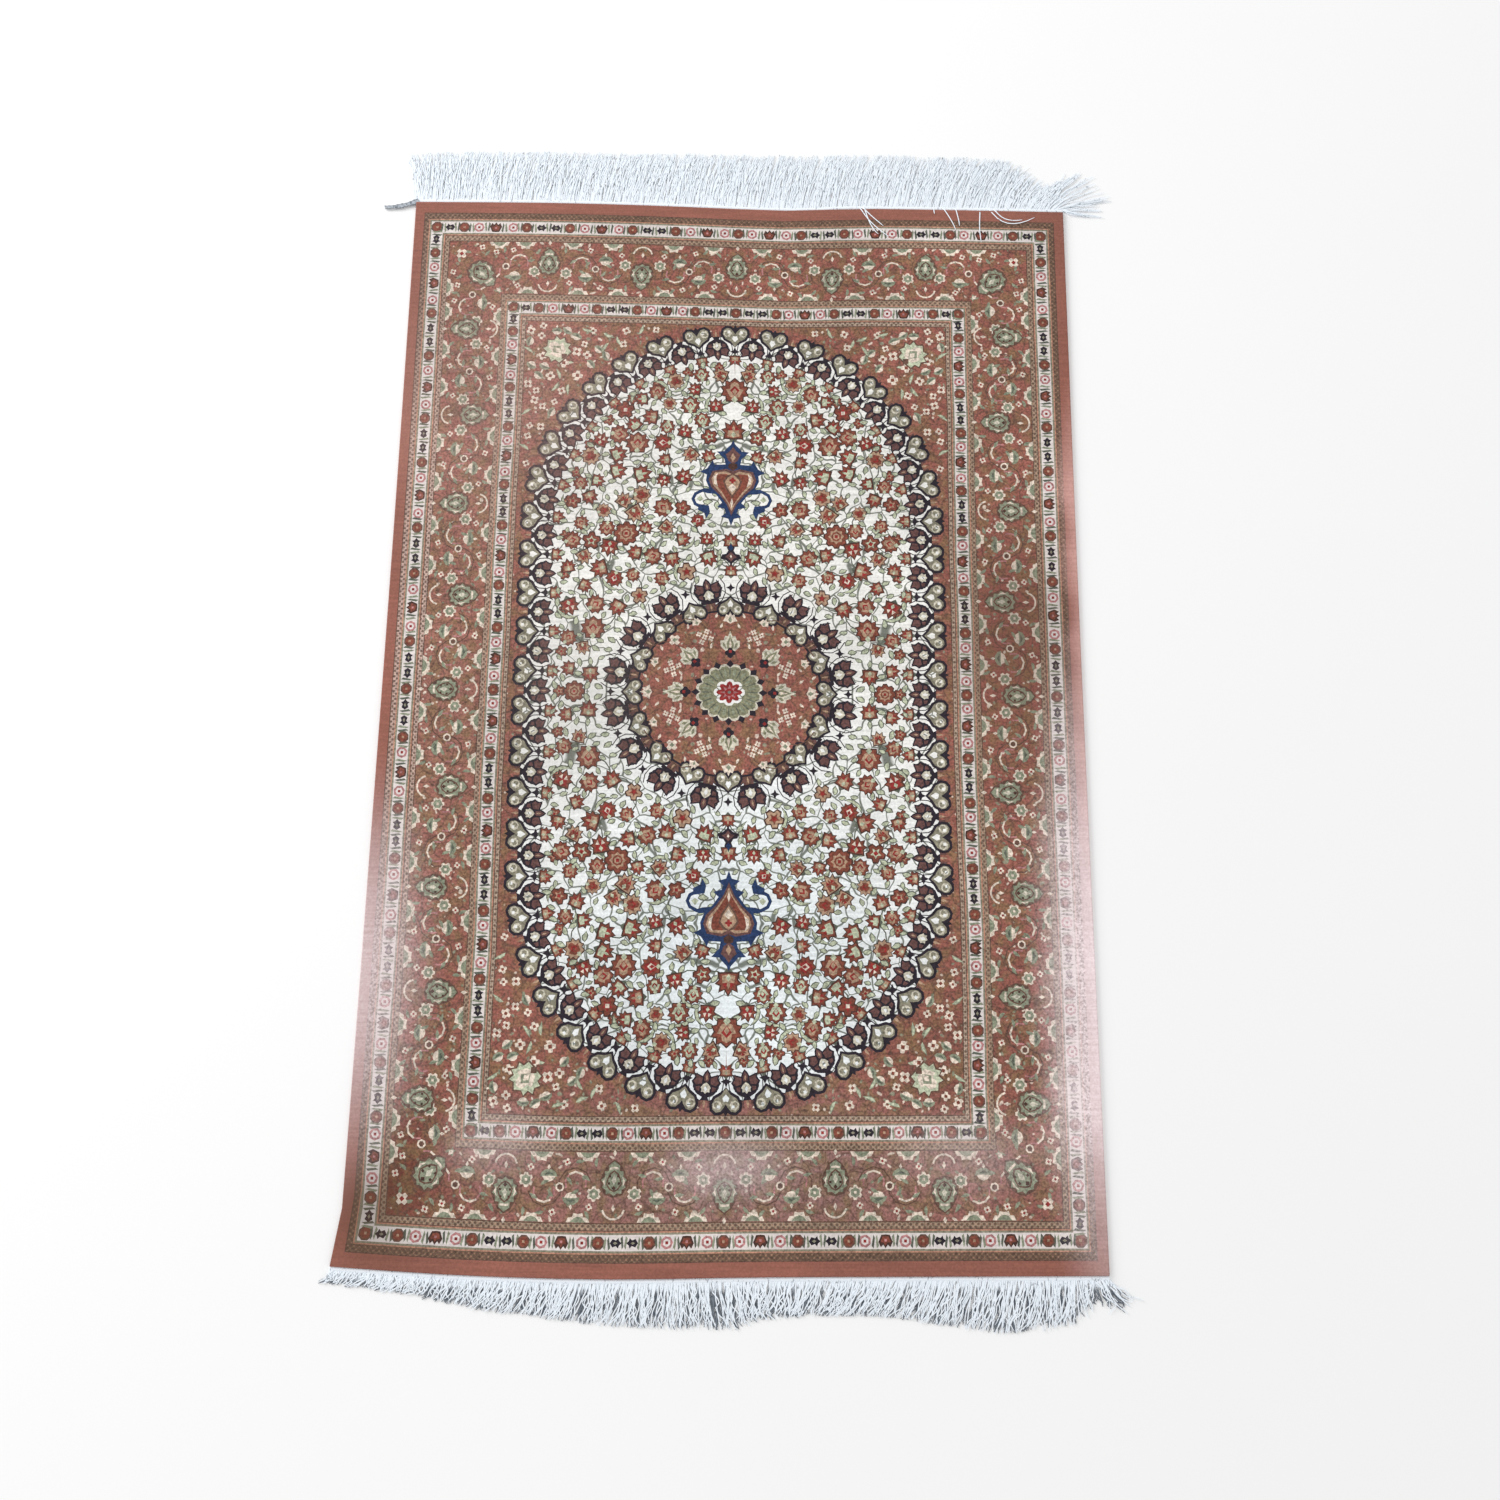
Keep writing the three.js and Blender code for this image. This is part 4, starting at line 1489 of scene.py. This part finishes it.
def loose_paths(edge):
    """Centre lines of the loose ends that have fallen back over the pile at the far end."""
    share = np.linspace(0, 1, RINGS)[:, None]
    paths = []
    for root, mid_in, mid_side, tip_in, tip_side in LOOSE_ENDS:
        start = np.array([root, edge(root) + 4, 2.4])
        middle = np.array([root + mid_side, edge(root) - mid_in * 1.2, 7.4])
        tip = np.array([root + tip_side, edge(root) - tip_in, 5.6])
        path = (1 - share) ** 2 * start + 2 * share * (1 - share) * middle + share**2 * tip
        over = path[:, 1] < edge(root) + 0.5
        path[over, 2] = np.maximum(path[over, 2], 5.7)
        paths.append(path)
    return np.array(paths), np.full((len(paths), RINGS), 1.0)


def map_strands(places, faces, ring, count):
    """A map of the strands, each unrolled in a cell of its own above the strip that the web takes up."""
    turn = np.unique(np.round(np.arctan2(places[:, 2], places[:, 0]), 3), return_inverse=True)[1]
    turns, rings = turn[faces].astype(float), ring[faces].astype(float)
    end = np.ptp(rings, axis=1) == 0
    turns[(np.ptp(turns, axis=1) == 2)[:, None] & ~end[:, None] & (turns == 0)] = 3
    outwards = np.where(rings == 0, -0.8, 0.8)
    rings += outwards * (end[:, None] & (turns == 1))
    cell = np.stack([(rings + 1) / (RINGS + 1), 0.1 + turns * 0.8 / 3], -1).reshape(-1, 2)
    rows = math.ceil(count / MAP_COLUMNS)
    number = np.arange(count)
    corner = np.stack([number % MAP_COLUMNS, number // MAP_COLUMNS], -1)
    spots = (corner[:, None] + cell) / (MAP_COLUMNS, rows)
    return spots * (1, 1 - WEB_STRIP) + (0, WEB_STRIP)


def strand_mesh(name, fringe, paths, tones):
    """A strand along every path, all in one mesh."""
    places, faces = strand_tube()
    ring = np.rint(places[:, 1] * (RINGS - 1)).astype(int)
    along = np.gradient(paths, axis=1)
    side = np.stack([along[..., 1], -along[..., 0], np.zeros(along.shape[:2])], -1)
    side /= np.linalg.norm(side, axis=-1, keepdims=True) + 1e-9
    radius = fringe.strand / MM * np.linspace(1, 0.75, RINGS)
    radius[-1] *= 0.6
    wide = side[:, ring] * (1.3 * places[:, 0] * radius[ring])[None, :, None]
    high = (0.7 * places[:, 2] * radius[ring])[None, :, None] * np.array([0, 0, 1.0])
    points = (paths[:, ring] + wide + high).reshape(-1, 3)
    joined = (faces[None] + len(places) * np.arange(len(paths))[:, None, None]).reshape(-1, 3)
    strands = bpy.data.meshes.new(name)
    strands.from_pydata(points * MM, [], joined)
    strands.attributes.new("ShadeAndTone", "FLOAT", "POINT").data.foreach_set("value", tones[:, ring].ravel())
    spots = map_strands(places, faces, ring, len(paths))
    strands.uv_layers.new(name="OFBake").data.foreach_set("uv", spots.ravel())
    return strands


def add_web(mesh, fringe, edge, outwards, ends):
    """Adds to a mesh of strands the web that their roots grow from."""
    bm = bmesh.new()
    bm.from_mesh(mesh)
    tone = bm.verts.layers.float["ShadeAndTone"]
    web = bmesh.ops.create_grid(bm, x_segments=160, y_segments=4, size=0.5)["verts"]
    thick, width = fringe.web_thickness / MM, fringe.web / MM
    for vert in web:
        across = vert.co.y + 0.5
        x = ends[0] + (ends[1] - ends[0]) * (vert.co.x + 0.5)
        y = float(edge(x)) + outwards * (fringe.gap / MM + width * across)
        vert.co = (x * MM, y * MM, thick * (1 - 0.45 * (2 * across - 1) ** 2) * MM)
        vert[tone] = 1.0
    top = list({face for vert in web for face in vert.link_faces})
    made = bmesh.ops.extrude_face_region(bm, geom=top, use_keep_orig=True)["geom"]
    # The web's lower face gets a little painted shade.
    for vert in of_kind(made, bmesh.types.BMVert):
        vert.co.z = 0
        vert[tone] = 0.9
    shell = top + of_kind(made, bmesh.types.BMFace)
    around = {face for item in shell for side_edge in item.edges for face in side_edge.link_faces}
    bmesh.ops.recalc_face_normals(bm, faces=list(around))
    bm.normal_update()
    spot = bm.loops.layers.uv["OFBake"]
    for face in around:
        upright = abs(face.normal.z) < 0.3
        strip = 2 if upright else int(face.normal.z > 0)
        for loop in face.loops:
            x, y, z = loop.vert.co / MM
            across = (outwards * (y - float(edge(x))) - fringe.gap / MM) / width
            rise = z / thick if upright else across
            share = (x - ends[0]) / (ends[1] - ends[0])
            loop[spot].uv = (share, WEB_STRIP * (strip + 0.1 + 0.7 * rise) / 3)
    bm.to_mesh(mesh)
    bm.free()


def twisted_lock(root, tip, strands=22):
    """Centre lines of a lock whose strands are twisted together, from its root to its tip."""
    share = np.linspace(0, 1, RINGS)
    way = np.array(tip, float) - root
    turn = 2 * math.pi * np.arange(strands)[:, None] / strands + 9 * share
    reach = 3.4 * (1 - 0.35 * share) + 0.5 * np.sin(14 * share)
    aside = np.array([-way[1], way[0]]) / math.hypot(*way)
    sag = 3 * np.sin(math.pi * share)
    flat = np.array(root) + way * share[:, None] + (reach * np.cos(turn) + sag)[..., None] * aside
    height = 2.6 + 0.5 * reach * np.sin(turn)
    # Painted light and shade that turn with the twist, darker overall than the loose strands.
    tone = 0.35 + 0.35 * np.sin(2 * turn)
    return np.concatenate([flat, height[..., None]], -1), np.clip(tone, 0, 1)


class RUG_OT_lay_fringes(Operator):
    """Lay the fringe at each end: its web, its locks of strands and the loose ends over the pile"""

    bl_idname = "rug.lay_fringes"
    bl_label = "Lay the fringes"

    def execute(self, context):
        fringe, sizes = context.scene.fringe_sizes, context.scene.rug_sizes
        rng = np.random.default_rng(sizes.seed + 1)
        left, right, near, far = woven_edges(sizes)
        half = sizes.length / 2 / MM
        silk = warp_silk(fringe)
        # The last value: the share of strands with painted shade, and how much darker they are.
        for name, table, edge, outwards, deep_shade in (
            ("fringe_far", FAR_LOCKS, far, 1, (0.06, 0.3)),
            ("fringe_near", NEAR_LOCKS, near, -1, (0.48, 0.95)),
        ):
            made = [lock_paths(fringe, rng, table, edge, outwards, deep_shade)]
            if outwards > 0:
                corner = float(edge(-498))
                made += [loose_paths(edge), twisted_lock((-497, corner + 3), (-548, corner - 9))]
            paths, tones = (np.concatenate(parts) for parts in zip(*made))
            ends = (float(left(outwards * half)), float(right(outwards * half)))
            mesh = strand_mesh(name, fringe, paths, tones)
            add_web(mesh, fringe, edge, outwards, ends)
            stands_for = "fringe_top" if outwards > 0 else "fringe_bottom"
            add_piece(name, mesh, silk, stands_for)
        return {"FINISHED"}


# The floor reaches this far each way and lies just under the rug; the lamp's place and side. In metres.
FLOOR_REACH = 30
FLOOR_DROP = 0.0002
LAMP_PLACE = (-4.5, 3.2, 2.6)
LAMP_SIDE = 3.0


class RUG_OT_set_stage(Operator):
    """Set the stage: a pale floor, soft light and the camera above the near end of the rug"""

    bl_idname = "rug.set_stage"
    bl_label = "Set the stage"

    def execute(self, context):
        scene, stage = context.scene, context.scene.rug_stage
        material, tree = new_material("pale_matt_floor")
        # A painted floor: its shade drifts by one part in a hundred over half a metre.
        drift = noise(tree, object_place(tree), 0.5, 1.0)["Fac"]
        tint = layered(tree, drift, opaque(stage.floor), opaque([0.99 * c for c in stage.floor]))
        surface(tree, {"Base Color": tint, "Roughness": 0.9, "Specular IOR Level": 0.1})
        bm = bmesh.new()
        bmesh.ops.create_grid(bm, x_segments=1, y_segments=1, size=FLOOR_REACH)
        mesh = bpy.data.meshes.new("floor")
        bm.to_mesh(mesh)
        bm.free()
        mesh.materials.append(material)
        floor = bpy.data.objects.new("floor", mesh)
        floor.location.z = -FLOOR_DROP
        scene.collection.objects.link(floor)

        key = bpy.data.lights.new("soft_key", "AREA")
        key.shape, key.size, key.size_y, key.energy = "RECTANGLE", LAMP_SIDE, LAMP_SIDE, stage.key
        lamp = bpy.data.objects.new("soft_key", key)
        lamp.location = LAMP_PLACE
        lamp.rotation_euler = (-lamp.location).to_track_quat("-Z", "Y").to_euler()
        scene.collection.objects.link(lamp)
        world = bpy.data.worlds.new("even_light")
        world.use_nodes = True
        sky = world.node_tree.nodes["Background"]
        sky.inputs["Color"].default_value = (1, 1, 1, 1)
        sky.inputs["Strength"].default_value = stage.sky
        scene.world = world
        scene.view_settings.view_transform = "Standard"

        eye = bpy.data.cameras.new("camera")
        eye.lens, eye.sensor_width = stage.lens, 36
        camera = bpy.data.objects.new("camera", eye)
        camera.rotation_mode = "YXZ"
        camera.location = stage.camera_place
        camera.rotation_euler = Euler(stage.camera_turn[:], "YXZ")
        scene.collection.objects.link(camera)
        scene.camera = camera
        return {"FINISHED"}


class RUG_PT_workshop(Panel):
    """Lists the rug's sizes, dyes and steps."""

    bl_label = "Persian rug"
    bl_idname = "RUG_PT_workshop"
    bl_space_type = "VIEW_3D"
    bl_region_type = "UI"
    bl_category = "Rug"

    def draw(self, context):
        for name, kind in GROUPS.items():
            box = self.layout.box()
            for setting in kind.__annotations__:
                box.prop(getattr(context.scene, name), setting)
        for step in STEPS:
            self.layout.operator(step.bl_idname)


GROUPS = {
    "rug_sizes": RugSizes, "rug_dyes": RugDyes, "fringe_sizes": FringeSizes, "rug_stage": StageLights,
}
STEPS = (RUG_OT_knot_pile, RUG_OT_lay_fringes, RUG_OT_set_stage)


def register():
    for kind in (*GROUPS.values(), *STEPS, RUG_PT_workshop):
        bpy.utils.register_class(kind)
    for name, kind in GROUPS.items():
        setattr(bpy.types.Scene, name, PointerProperty(type=kind))


def unregister():
    for name in GROUPS:
        delattr(bpy.types.Scene, name)
    for kind in reversed((*GROUPS.values(), *STEPS, RUG_PT_workshop)):
        bpy.utils.unregister_class(kind)


def main():
    register()
    bpy.ops.rug.knot_pile()
    bpy.ops.rug.lay_fringes()
    bpy.ops.rug.set_stage()


if __name__ == "__main__":
    main()
